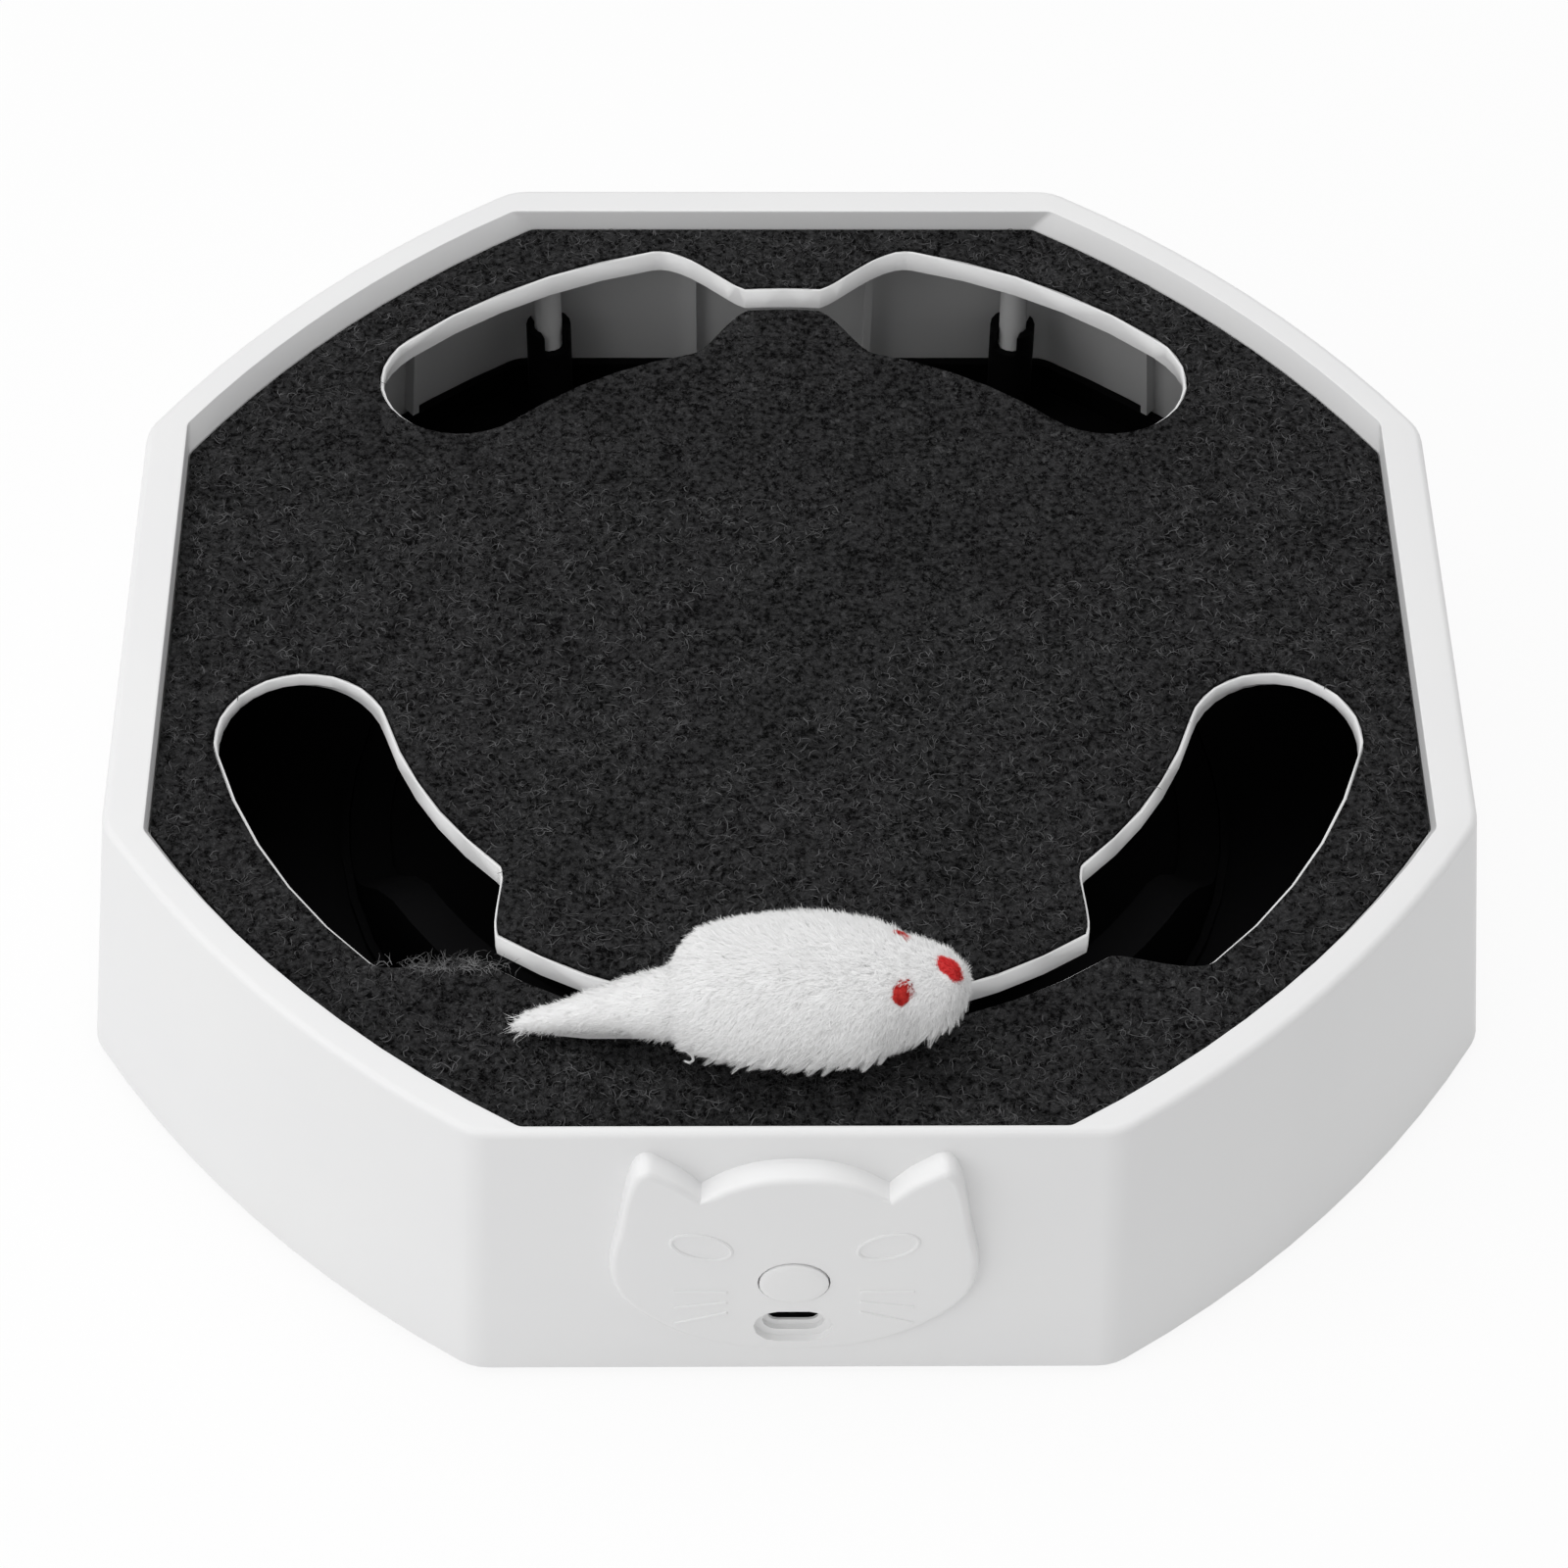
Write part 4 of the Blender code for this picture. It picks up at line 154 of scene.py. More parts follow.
def metal(name, colour, dark, roughness):
    """Metal with fine drawn or turned lines, a little tarnish and uneven gloss."""
    mat, shader = new_material(name, colour, roughness, 1.0)
    lines = noise(mat, coordinates(mat, (1, 1, 14)), 900, 3, 0.6)
    cloud = noise(mat, coordinates(mat), 180, 3, 0.6)
    link(mat, mix_colour(mat, spread(mat, cloud, 0.35, 0.75), dark, colour), shader.inputs["Base Color"])
    link(mat, spread(mat, lines, 0.3, 0.7, roughness - 0.08, roughness + 0.1), shader.inputs["Roughness"])
    bump(mat, shader, lines, 0.00003, 0.5)
    return mat


def curls(mat, vector, scale, width):
    """Thin curling lines, where a warped noise field crosses its middle value."""
    field = noise(mat, vector, scale, 1.0, 0.5, 0.8)
    away = math_node(mat, "ABSOLUTE", math_node(mat, "SUBTRACT", field, 0.5), 0.0)
    return spread(mat, away, 0.0, width, 1.0, 0.0)


def felt_material():
    """Needle felt: a dark ground, with paler fibres curling in and out of it at two sizes."""
    mat, shader = new_material("charcoal_felt", (0.018, 0.018, 0.0185), 0.97, specular=0.04)
    where = coordinates(mat)
    shifted = coordinates(mat, (1.13, 0.91, 1.0))
    lines = math_node(mat, "MAXIMUM", curls(mat, where, 620, 0.04), curls(mat, shifted, 900, 0.05))
    mottle = noise(mat, where, 900, 2, 0.5)
    patches = noise(mat, where, 90, 3, 0.6)
    ground = mix_colour(mat, spread(mat, mottle, 0.38, 0.66), (0.002, 0.002, 0.0021), (0.036, 0.036, 0.037))
    amount = math_node(mat, "MULTIPLY", lines, spread(mat, patches, 0.3, 0.7, 0.2, 0.8))
    link(mat, mix_colour(mat, amount, ground, (0.085, 0.085, 0.087)), shader.inputs["Base Color"])
    height = math_node(mat, "ADD", lines, math_node(mat, "MULTIPLY", mottle, 1.5))
    bump(mat, shader, height, 0.0003, 0.9)
    return mat


def fibre_material(name, low, high, roughness=0.85, scale=900):
    """Loose fibre: its colour drifts from strand to strand."""
    mat, shader = new_material(name, high, roughness, specular=0.1)
    cloud = noise(mat, coordinates(mat), scale, 2, 0.6)
    link(mat, mix_colour(mat, spread(mat, cloud, 0.3, 0.7), low, high), shader.inputs["Base Color"])
    return mat


def painted_glow(mat, strength):
    """Painted light: a faint even white glow, standing in for the light that bounces on and on inside a pale
    pile.
    """
    shader = mat.node_tree.nodes["Principled BSDF"]
    shader.inputs["Emission Color"].default_value = (1, 1, 1, 1)
    shader.inputs["Emission Strength"].default_value = strength


def see_through(mat, share):
    """Let a share of the light through, as thin pale strands do."""
    out = [n for n in mat.node_tree.nodes if n.type == "OUTPUT_MATERIAL"][0]
    surface = out.inputs["Surface"].links[0].from_socket
    thin = node(mat, "ShaderNodeBsdfTranslucent")
    thin.inputs["Color"].default_value = (0.97, 0.97, 0.97, 1)
    blend = node(mat, "ShaderNodeMixShader", Fac=share)
    link(mat, surface, blend.inputs[1])
    link(mat, thin.outputs[0], blend.inputs[2])
    link(mat, blend.outputs[0], out.inputs["Surface"])


def backing_material(name, low, high, depth=0.0004):
    """The knitted backing under the pile, uneven and matt."""
    mat, shader = new_material(name, high, 0.95, specular=0.1)
    fine = noise(mat, coordinates(mat, (1, 1.3, 1.3)), 700, 3, 0.65, 0.5)
    link(mat, mix_colour(mat, spread(mat, fine, 0.3, 0.7), low, high), shader.inputs["Base Color"])
    bump(mat, shader, fine, depth, 0.8)
    return mat


def board_material():
    """Solder mask over copper tracks: a grid of faint raised lines and pads."""
    mat, shader = new_material("solder_mask", (0.02, 0.13, 0.05), 0.35)
    brick = node(mat, "ShaderNodeTexBrick", Scale=260.0)
    brick.inputs["Color1"].default_value = (0.018, 0.12, 0.045, 1)
    brick.inputs["Color2"].default_value = (0.022, 0.16, 0.06, 1)
    brick.inputs["Mortar"].default_value = (0.035, 0.24, 0.09, 1)
    brick.inputs["Mortar Size"].default_value = 0.03
    turned = node(mat, "ShaderNodeMapping")
    turned.inputs["Rotation"].default_value = (math.pi / 2, 0, 0)
    link(mat, coordinates(mat), turned.inputs["Vector"])
    link(mat, turned.outputs["Vector"], brick.inputs["Vector"])
    link(mat, brick.outputs["Color"], shader.inputs["Base Color"])
    bump(mat, shader, brick.outputs["Fac"], 0.00005, 0.6)
    return mat


PLASTICS = (
    # slot and name, then colour, darker colour, roughness, grain, depth of the grain and specular
    ("white_shell", "white_satin_plastic", (0.865, 0.865, 0.865), (0.85, 0.85, 0.855), 0.42, 2600, 2e-5, 0.4),
    ("black_plastic", "black_moulded_plastic", (0.004, 0.004, 0.0045), (0.0025, 0.0025, 0.003), 0.7, 1900,
     4e-5, 0.08),
    ("gear_plastic", "natural_acetal", (0.78, 0.77, 0.72), (0.7, 0.69, 0.64), 0.4, 1500, 2e-5, 0.5),
    ("rubber", "black_rubber", (0.025, 0.025, 0.026), (0.015, 0.015, 0.016), 0.8, 1300, 6e-5, 0.3),
    ("battery_wrap", "battery_film", (0.05, 0.12, 0.32), (0.035, 0.09, 0.26), 0.3, 500, 4e-5, 0.5),
    ("red_lead", "red_insulation", (0.6, 0.03, 0.03), (0.45, 0.02, 0.02), 0.4, 1200, 2e-5, 0.5),
)
FINISH_OF_SLOT = {slot: moulded_plastic(*look) for slot, *look in PLASTICS}
FINISH_OF_SLOT["steel"] = metal("bright_steel", (0.62, 0.62, 0.64), (0.5, 0.5, 0.52), 0.28)
FINISH_OF_SLOT["brass"] = metal("turned_brass", (0.74, 0.56, 0.26), (0.58, 0.42, 0.18), 0.3)
FINISH_OF_SLOT["board_green"] = board_material()
FELT = felt_material()
FELT_FIBRE = fibre_material("felt_fibre", (0.008, 0.008, 0.0082), (0.12, 0.12, 0.123), 0.95, 420)
FRAY_FIBRE = fibre_material("frayed_fibre", (0.03, 0.03, 0.0305), (0.26, 0.26, 0.264), 0.95, 500)
FUR = fibre_material("white_pile", (0.96, 0.96, 0.96), (0.98, 0.98, 0.98), 0.9)
BACKING = backing_material("white_backing", (0.88, 0.88, 0.88), (0.94, 0.94, 0.94))
RED = backing_material("red_pile_ground", (0.5, 0.016, 0.018), (0.74, 0.035, 0.036), 0.0003)
RED_FUR = fibre_material("red_pile", (0.5, 0.02, 0.018), (0.82, 0.07, 0.06))
NOSE_FUR = fibre_material("bright_red_pile", (0.85, 0.04, 0.045), (1.0, 0.11, 0.11))
PILE_SEE_THROUGH = 0.1
# Painted light: strength of the white glow given to the pile and its backing
PILE_PAINTED_GLOW = 0.04
see_through(FUR, PILE_SEE_THROUGH)
# Painted light: both pale materials glow faintly, standing in for bounced light
for pale in (FUR, BACKING):
    painted_glow(pale, PILE_PAINTED_GLOW)


# Mesh helpers

def mesh_object(name, verts, faces, mat, smooth=True):
    mesh = bpy.data.meshes.new(name)
    mesh.from_pydata(verts, [], faces)
    mesh.materials.append(mat)
    if smooth:
        mesh.shade_smooth()
    obj = bpy.data.objects.new(name, mesh)
    bpy.context.scene.collection.objects.link(obj)
    return obj


def applied(obj):
    """Give an object the mesh that its modifiers make."""
    bpy.context.view_layer.update()
    made = bpy.data.meshes.new_from_object(obj.evaluated_get(bpy.context.evaluated_depsgraph_get()))
    obj.modifiers.clear()
    obj.data = made
    return obj


def copy_of(node_name, name, mat):
    """A piece of the scene's own in the shape of a node, its faces joined at their edges."""
    mesh = NODES[node_name].data.copy()
    mesh.materials.clear()
    mesh.materials.append(mat)
    obj = bpy.data.objects.new(name, mesh)
    bpy.context.scene.collection.objects.link(obj)
    bm = bmesh.new()
    bm.from_mesh(mesh)
    bmesh.ops.remove_doubles(bm, verts=bm.verts, dist=0.001 * MM)
    bm.to_mesh(mesh)
    bm.free()
    return obj


def surface_samples(obj, count, seed):
    """Random points on a mesh, evenly by area, with smooth normals."""
    rng = np.random.default_rng(seed)
    mesh = obj.data
    mesh.calc_loop_triangles()
    tris = np.empty(len(mesh.loop_triangles) * 3, np.int32)
    mesh.loop_triangles.foreach_get("vertices", tris)
    tris = tris.reshape(-1, 3)
    co = np.empty(len(mesh.vertices) * 3)
    mesh.vertices.foreach_get("co", co)
    co = co.reshape(-1, 3)
    normals = np.empty(len(mesh.vertices) * 3)
    mesh.vertices.foreach_get("normal", normals)
    normals = normals.reshape(-1, 3)
    a, b, c = (co[tris[:, i]] for i in range(3))
    area = np.linalg.norm(np.cross(b - a, c - a), axis=1)
    pick = rng.choice(len(tris), count, p=area / area.sum())
    u, v = rng.random(count), rng.random(count)
    flip = u + v > 1
    u[flip], v[flip] = 1 - u[flip], 1 - v[flip]
    w = 1 - u - v
    point = a[pick] * w[:, None] + b[pick] * u[:, None] + c[pick] * v[:, None]
    normal = sum(normals[tris[pick, i]] * k[:, None] for i, k in enumerate((w, u, v)))
    return point, unit(normal), rng


def unit(v):
    return v / (np.linalg.norm(v, axis=-1)[..., None] + 1e-12)


def ribbons(name, paths, widths, facing, taper, mat):
    """Thin ribbons as one mesh, each turned and shaded towards its facing. paths is (count, points, 3)."""
    count, points, _ = paths.shape
    side = unit(np.cross(unit(np.gradient(paths, axis=1)), facing[:, None]))
    half = widths[:, None, None] / 2 * np.array(taper)[None, :, None]
    verts = np.stack([paths - side * half, paths + side * half], 2).reshape(-1, 3)
    base = (np.arange(count) * points * 2)[:, None]
    step = (np.arange(points - 1) * 2)[None]
    corner = base + step
    faces = np.stack([corner, corner + 1, corner + 3, corner + 2], -1).reshape(-1, 4)
    made = mesh_object(name, verts.tolist(), faces.tolist(), mat)
    made.data.normals_split_custom_set_from_vertices(np.repeat(facing, points * 2, axis=0).tolist())
    return made


def bvh_of(obj):
    mesh = obj.data
    return BVHTree.FromPolygons([v.co for v in mesh.vertices], [p.vertices for p in mesh.polygons])


def place(obj, body, slot, *nodes):
    """Hang a piece on the empty of the body it rides on and hide the nodes it stands for; slot is not used.
    """
    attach(obj, body)
    for name in nodes:
        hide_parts(name)
    return obj


# Rigid pieces: the CAD shapes with their round faces shaded smooth

SOFT_NODES = (
    "felt_pad",
    "mouse_body",
    "mouse_head",
    "mouse_tail",
    "mouse_eye_near",
    "mouse_eye_far",
    "mouse_nose",
)
BODY_OF = {name: body for body, names in frame["record"]["behaviour"]["bodies"].items() for name in names}
SHARP_EDGE = math.radians(32)
LEVEL = 0.7
UPRIGHT = 0.3
OPENINGS_REACH = 118 * MM
LIP_TOP = FELT_TOP - 0.45 * MM
NEAR = 0.05 * MM


def lip_faces(mesh, normals):
    """The level faces and the openings' inner walls, which meet in the rounded lips of the deck."""
    lows = np.array([min(mesh.vertices[v].co.z for v in p.vertices) for p in mesh.polygons])
    return (normals[:, 2] > LEVEL) | (lows < FELT_LOW.z - 0.1 * MM)


def within_openings(co):
    """True nearer to the middle than the felt's outer edge is."""
    return math.hypot(co.x, co.y) < OPENINGS_REACH


def smooth_within(mesh, limit):
    """Shade each corner with the mean of the faces round it that turn from its own by less than the limit."""
    count = len(mesh.polygons)
    normals = np.empty(count * 3)
    mesh.polygons.foreach_get("normal", normals)
    normals = normals.reshape(-1, 3)
    areas = np.empty(count)
    mesh.polygons.foreach_get("area", areas)
    sizes = np.empty(count, np.int32)
    mesh.polygons.foreach_get("loop_total", sizes)
    verts = np.empty(len(mesh.loops), np.int32)
    mesh.loops.foreach_get("vertex_index", verts)
    face_of = np.repeat(np.arange(count), sizes)
    weighted = normals * (areas[:, None] + 1e-14)
    rounded = lip_faces(mesh, normals)
    corners = np.empty((len(verts), 3))
    order = np.argsort(verts, kind="stable")
    for group in np.split(order, np.flatnonzero(np.diff(verts[order])) + 1):
        faces = face_of[group]
        alike = normals[faces] @ normals[faces].T > math.cos(limit)
        co = mesh.vertices[verts[group[0]]].co
        if abs(co.z - LIP_TOP) < NEAR and within_openings(co):
            soft = rounded[faces]
            alike |= np.outer(soft, soft)
            corners[group] = alike @ normals[faces]
        else:
            corners[group] = alike @ weighted[faces]
    mesh.normals_split_custom_set(unit(corners).tolist())


def dress_rigid(node_name, slot):
    piece = copy_of(node_name, f"{node_name}_finished", FINISH_OF_SLOT[slot])
    smooth_within(piece.data, SHARP_EDGE)
    place(piece, BODY_OF[node_name], slot, node_name)


def dress_all_rigid():
    for entry in frame["record"]["subparts"]:
        if entry["node"] not in SOFT_NODES:
            dress_rigid(entry["node"], entry["material_slot"])


# Plush mouse

PLUSH_SECTIONS = (
    # along, aside, half width, half height, middle over the felt, in mm from the tip of the tail to the snout
    (-49.8, 0.0, 0.4, 0.6, 3.6),
    (-49.3, 0.0, 0.9, 1.0, 3.7),
    (-46.8, 0.2, 1.8, 1.7, 4.4),
    (-42.0, 0.2, 2.5, 2.6, 5.5),
    (-37.0, 0.5, 3.4, 3.5, 6.7),
    (-32.0, 0.5, 4.4, 4.3, 7.6),
    (-26.9, 0.5, 5.5, 5.2, 8.5),
    (-23.7, 0.3, 5.9, 5.7, 9.1),
    (-21.4, 0.2, 6.2, 6.3, 9.8),
    (-20.6, 0.3, 7.3, 7.4, 10.6),
    (-19.5, 0.4, 8.5, 8.2, 11.3),
    (-18.1, 0.7, 9.7, 8.9, 11.8),
    (-16.2, 0.8, 11.0, 9.5, 12.2),
    (-13.6, 0.8, 12.2, 9.9, 12.4),
    (-10.1, 0.7, 13.2, 10.2, 12.5),
    (-6.1, 0.8, 13.8, 10.4, 12.6),
    (-0.2, 0.8, 14.0, 10.5, 12.6),
    (5.8, 0.8, 13.8, 10.5, 12.6),
    (10.7, 0.8, 13.4, 10.3, 12.6),
    (14.1, 0.7, 12.4, 9.9, 12.6),
    (17.1, 0.6, 10.9, 9.3, 12.7),
    (20.1, 0.5, 9.1, 8.6, 12.8),
    (23.0, 0.5, 7.9, 7.8, 13.0),
    (25.5, 0.6, 7.0, 6.9, 13.2),
    (27.6, 0.8, 5.8, 5.7, 13.4),
    (29.0, 1.0, 4.3, 4.4, 13.6),
    (30.0, 1.2, 2.7, 3.0, 13.8),
    (30.6, 1.3, 1.0, 1.3, 13.9),
)
AROUND = 36
ROUNDNESS = 0.89
SKIN_VOXEL = 0.75 * MM
LUMPS = (
    # size and height in mm
    (7, 0.35),
    (3, 0.12),
)
CHANNEL_HALF = 4.4 * MM
CARRIER_CLEAR = 0.2 * MM
PILE_FLOOR = FELT_TOP + 0.3 * MM
PILE_COUNT = 120000
PILE_PARTS = ("tail", "rump", "back", "front")
PILE_SPLITS = (-16, -4, 8)
TAIL_END = -24
TAIL_PILE_SHARE = 0.8
TUFT_COUNT = 110000
TUFT_START = -19
PILE_TAPER = (1, 0.95, 0.7, 0.2)
TUFT_TAPER = (1, 0.9, 0.6, 0.15)


def plush_loft():
    verts = []
    for along, aside, wide, tall, middle in PLUSH_SECTIONS:
        for k in range(AROUND):
            c, s = math.cos(math.tau * k / AROUND), math.sin(math.tau * k / AROUND)
            across = aside + wide * math.copysign(abs(c) ** ROUNDNESS, c)
            up = middle + tall * math.copysign(abs(s) ** ROUNDNESS, s)
            verts.append((along * MM, MOUSE_Y + across * MM, FELT_TOP + up * MM))
    faces = [tuple(reversed(range(AROUND)))]
    for row in range(len(PLUSH_SECTIONS) - 1):
        for k in range(AROUND):
            a, b = row * AROUND + k, row * AROUND + (k + 1) % AROUND
            faces.append((a, b, b + AROUND, a + AROUND))
    faces.append(tuple(range(len(verts) - AROUND, len(verts))))
    return mesh_object("plush_skin", verts, faces, BACKING)


def plush_skin():
    """One sewn skin over body, head and tail, uneven with its filling and hollow over the carrier."""
    skin = plush_loft()
    even = skin.modifiers.new("even", "REMESH")
    even.mode = "VOXEL"
    even.voxel_size = SKIN_VOXEL
    soft = skin.modifiers.new("soft", "SMOOTH")
    soft.iterations = 3
    soft.factor = 0.5
    applied(skin)
    middle = (CARRIER_LOW.y + CARRIER_HIGH.y) / 2
    roof = CARRIER_HIGH.z + CARRIER_CLEAR
    for vert in skin.data.vertices:
        lump = sum(fields.noise(vert.co / (size * MM)) * height for size, height in LUMPS)
        vert.co += vert.normal * lump * MM
        if abs(vert.co.y - middle) < CHANNEL_HALF and vert.co.x < CARRIER_HIGH.x:
            vert.co.z = max(vert.co.z, roof)
    skin.data.shade_smooth()
    return place(skin, "lifting_arm", "plush", "mouse_body", "mouse_head", "mouse_tail")


def nearest(points, seeds):
    """For each point, the number of the seed that lies closest."""
    tree = KDTree(len(seeds))
    for i, seed in enumerate(seeds):
        tree.insert(seed, i)
    tree.balance()
    return np.array([tree.find(p)[1] for p in points])


def gathered(paths, rng, share, low, high):
    """Draw the strands' outer ends together into tufts of about share strands each."""
    tips = paths[:, -1]
    seeds = rng.choice(len(paths), max(4, len(paths) // share), replace=False)
    target = tips[seeds][nearest(paths[:, 0], paths[seeds, 0])]
    pull = rng.uniform(low, high, len(paths))[:, None, None]
    weight = np.linspace(0, 1, paths.shape[1])[None, :, None] ** 1.5
    return paths + (target - tips)[:, None] * pull * weight


def pile_paths(point, normal, length, flow, rise, droop, rng, ruffle=0.16):
    """Strands of four points that leave the skin along its normal and bend over into the flow."""
    count = len(point)
    tangent = unit(flow - normal * np.sum(flow * normal, axis=1)[:, None])
    loose = rng.normal(scale=ruffle, size=(count, 3))
    start = unit(tangent + normal * (rise + 0.55) + loose)
    end = unit(tangent + normal * rise + loose * 1.4 + np.array([0, 0, -1]) * droop)
    reach = length[:, None]
    root = point - normal * 0.2 * MM
    low = root + start * reach * 0.34
    high = low + unit(start + end) * reach * 0.33
    tip = high + end * reach * 0.33
    return np.stack([root, low, high, tip], 1)


def kept_off_floor(paths):
    """Lay what would go through the felt on top of it."""
    z = paths[:, :, 2]
    paths[:, :, 2] = np.where(z < PILE_FLOOR, PILE_FLOOR + (PILE_FLOOR - z) * 0.04, z)
    return paths


def flow_over(point):
    """The way the pile was brushed: back along the body, and down and outwards on its sides."""
    aside = (point[:, 1] - MOUSE_Y) / (BODY_HIGH.y - MOUSE_Y)
    thick = np.clip((point[:, 0] + 30 * MM) / (15 * MM), 0, 1)
    return np.stack([np.full(len(point), -1.0), aside * 0.8 * thick, -0.45 * thick], 1)


def clear_of(point, spots):
    """True where a point is outside every red spot."""
    keep = np.ones(len(point), bool)
    for centre, radius in spots:
        keep &= np.linalg.norm(point - np.array(centre), axis=1) > radius
    return keep


def in_mm(rng, limits, count):
    """Random lengths between two limits that are given in mm."""
    return rng.uniform(*limits, count) * MM


def turned_about(normal, rng, scale):
    """Directions that stray a little from the given ones."""
    return unit(normal + rng.normal(scale=scale, size=normal.shape))


def short_pile(skin, spots):
    """Short pile all over but for the belly; each part of the mouse is a piece of its own."""
    point, normal, rng = surface_samples(skin, PILE_COUNT, 11)
    keep = clear_of(point, spots) & (normal[:, 2] > -0.6)
    point, normal = point[keep], normal[keep]
    length = in_mm(rng, (1.1, 2.5), len(point))
    length[point[:, 0] < TAIL_END * MM] *= TAIL_PILE_SHARE
    paths = pile_paths(point, normal, length, flow_over(point), 0.5, 0.1, rng, 0.28)
    paths = kept_off_floor(gathered(paths, rng, 18, 0.1, 0.7))
    facing = turned_about(normal, rng, 0.14)
    widths = in_mm(rng, (0.08, 0.15), len(point))
    parts = np.digitize(point[:, 0], np.array(PILE_SPLITS) * MM)
    for number, name in enumerate(PILE_PARTS):
        part = parts == number
        pile = ribbons(f"plush_pile_{name}", paths[part], widths[part], facing[part], PILE_TAPER, FUR)
        place(pile, "lifting_arm", "plush")


def tufts(skin):
    """Longer pile that hangs in pointed tufts along the lower edges and round the chin."""
    point, normal, rng = surface_samples(skin, TUFT_COUNT, 12)
    under = (normal[:, 2] < 0.0) & (normal[:, 2] > -0.7) & (point[:, 0] > TUFT_START * MM)
    point, normal = point[under], normal[under]
    length = in_mm(rng, (2.0, 4.2), len(point))
    flow = flow_over(point) + normal * np.array([1, 1, 0]) * 0.6
    paths = pile_paths(point, normal, length, flow, 0.28, 0.45, rng)
    paths = kept_off_floor(gathered(paths, rng, 80, 0.6, 0.97))
    facing = turned_about(normal, rng, 0.3)
    widths = in_mm(rng, (0.08, 0.14), len(point))
    place(ribbons("plush_tufts", paths, widths, facing, TUFT_TAPER, FUR), "lifting_arm", "plush")


def tail_tuft():
    """Loose ends past the tip of the tail."""
    rng = np.random.default_rng(13)
    tip = np.array([PLUSH_SECTIONS[0][0] * MM, MOUSE_Y, FELT_TOP + PLUSH_SECTIONS[0][4] * MM])
    count = 220
    root = tip + rng.normal(size=(count, 3)) * np.array([0.9, 0.5, 0.5]) * MM + np.array([2.2, 0, 0]) * MM
    way = unit(np.array([-1, -0.1, -0.25]) + rng.normal(scale=0.3, size=(count, 3)))
    reach = in_mm(rng, (1.2, 2.8), count)[:, None]
    bend = rng.normal(scale=0.25, size=(count, 3)) * reach
    stations = [root + way * reach * along + bend * bent for along, bent in ((0.4, 0), (0.75, 0.3), (1, 1))]
    paths = kept_off_floor(np.stack([root, *stations], 1))
    widths = in_mm(rng, (0.09, 0.16), count)
    facing = unit(rng.normal(scale=0.5, size=(count, 3)) + np.array([0, -0.6, 0.8]))
    place(ribbons("tail_tuft", paths, widths, facing, TUFT_TAPER, FUR), "lifting_arm", "plush")


LOCK_COUNT = 26
LOCK_TAPER = (1, 1, 0.9, 0.8, 0.6, 0.3)
LOCK_PATH = (
    # middle line of the lock in mm: along, aside, over the felt
    (-20.6, -6.6, 5.2),
    (-19.2, -7.2, 5.0),
    (-18.2, -7.6, 4.3),
    (-18.0, -7.8, 3.2),
    (-18.7, -7.7, 2.4),
    (-19.6, -7.5, 2.6),
)


def stray_lock():
    """A loose lock that curls away from the body's near side, just before the tail."""
    rng = np.random.default_rng(14)
    line = np.array(LOCK_PATH) * MM + np.array([0, MOUSE_Y, FELT_TOP])
    paths = line + rng.normal(scale=0.1, size=(LOCK_COUNT, 1, 3)) * MM
    paths = paths + rng.normal(scale=0.05, size=(LOCK_COUNT, len(LOCK_PATH), 3)) * MM
    facing = unit(np.array([0, -0.66, 0.75]) + rng.normal(scale=0.3, size=(LOCK_COUNT, 3)))
    widths = in_mm(rng, (0.07, 0.13), LOCK_COUNT)
    place(ribbons("stray_lock", paths, widths, facing, LOCK_TAPER, FUR), "lifting_arm", "plush")


# Red eyes and nose, sewn patches with a short nap

RED_SPOTS = {
    # node: (middle in mm: along, aside, over the felt), half length, half width, tilt from level
    "mouse_eye_near": ((18.6, -5.1, 18.9), 2.3, 1.6, 60),
    "mouse_eye_far": ((18.4, 5.7, 18.6), 1.9, 1.3, 130),
    "mouse_nose": ((27.2, 0.2, 18.4), 3.0, 1.8, -20),
}
SPOT_CLEARING = 0.95
PATCH_RINGS = 7
PATCH_STEPS = 28
PATCH_EDGE = 0.25
PATCH_DOME = 0.3
PATCH_DEPTH = 0.3
NAP_COUNT = 4200


def spot_frame(tree, middle, tilt):
    """The skin's point nearest to a spot's middle, with the ways out, along and across there."""
    target = Vector((middle[0] * MM, MOUSE_Y + middle[1] * MM, FELT_TOP + middle[2] * MM))
    centre, normal, _, _ = tree.find_nearest(target)
    level = Vector((1, 0, 0)) - normal * normal.x
    level.normalize()
    rise = normal.cross(level)
    turn = math.radians(tilt)
    along = level * math.cos(turn) + rise * math.sin(turn)
    across = rise * math.cos(turn) - level * math.sin(turn)
    return centre, normal, along, across


def patch_points(tree, centre, along, across, long, short):
    """Upper and lower points of a patch in rings round its middle, laid on the skin."""
    top, under = [], []
    for ring in range(PATCH_RINGS + 1):
        share = ring / PATCH_RINGS
        for k in range(PATCH_STEPS if ring else 1):
            angle = math.tau * k / PATCH_STEPS
            ragged = 1 + 0.06 * math.sin(5 * angle + 1) + 0.04 * math.sin(9 * angle)
            flat = centre + along * (long * share * math.cos(angle) * ragged * MM)
            flat += across * (short * share * math.sin(angle) * ragged * MM)
            spot, away, _, _ = tree.find_nearest(flat)
            top.append(spot + away * (PATCH_EDGE + PATCH_DOME * (1 - share**2)) * MM)
            under.append(spot - away * PATCH_DEPTH * MM)
    return top, under


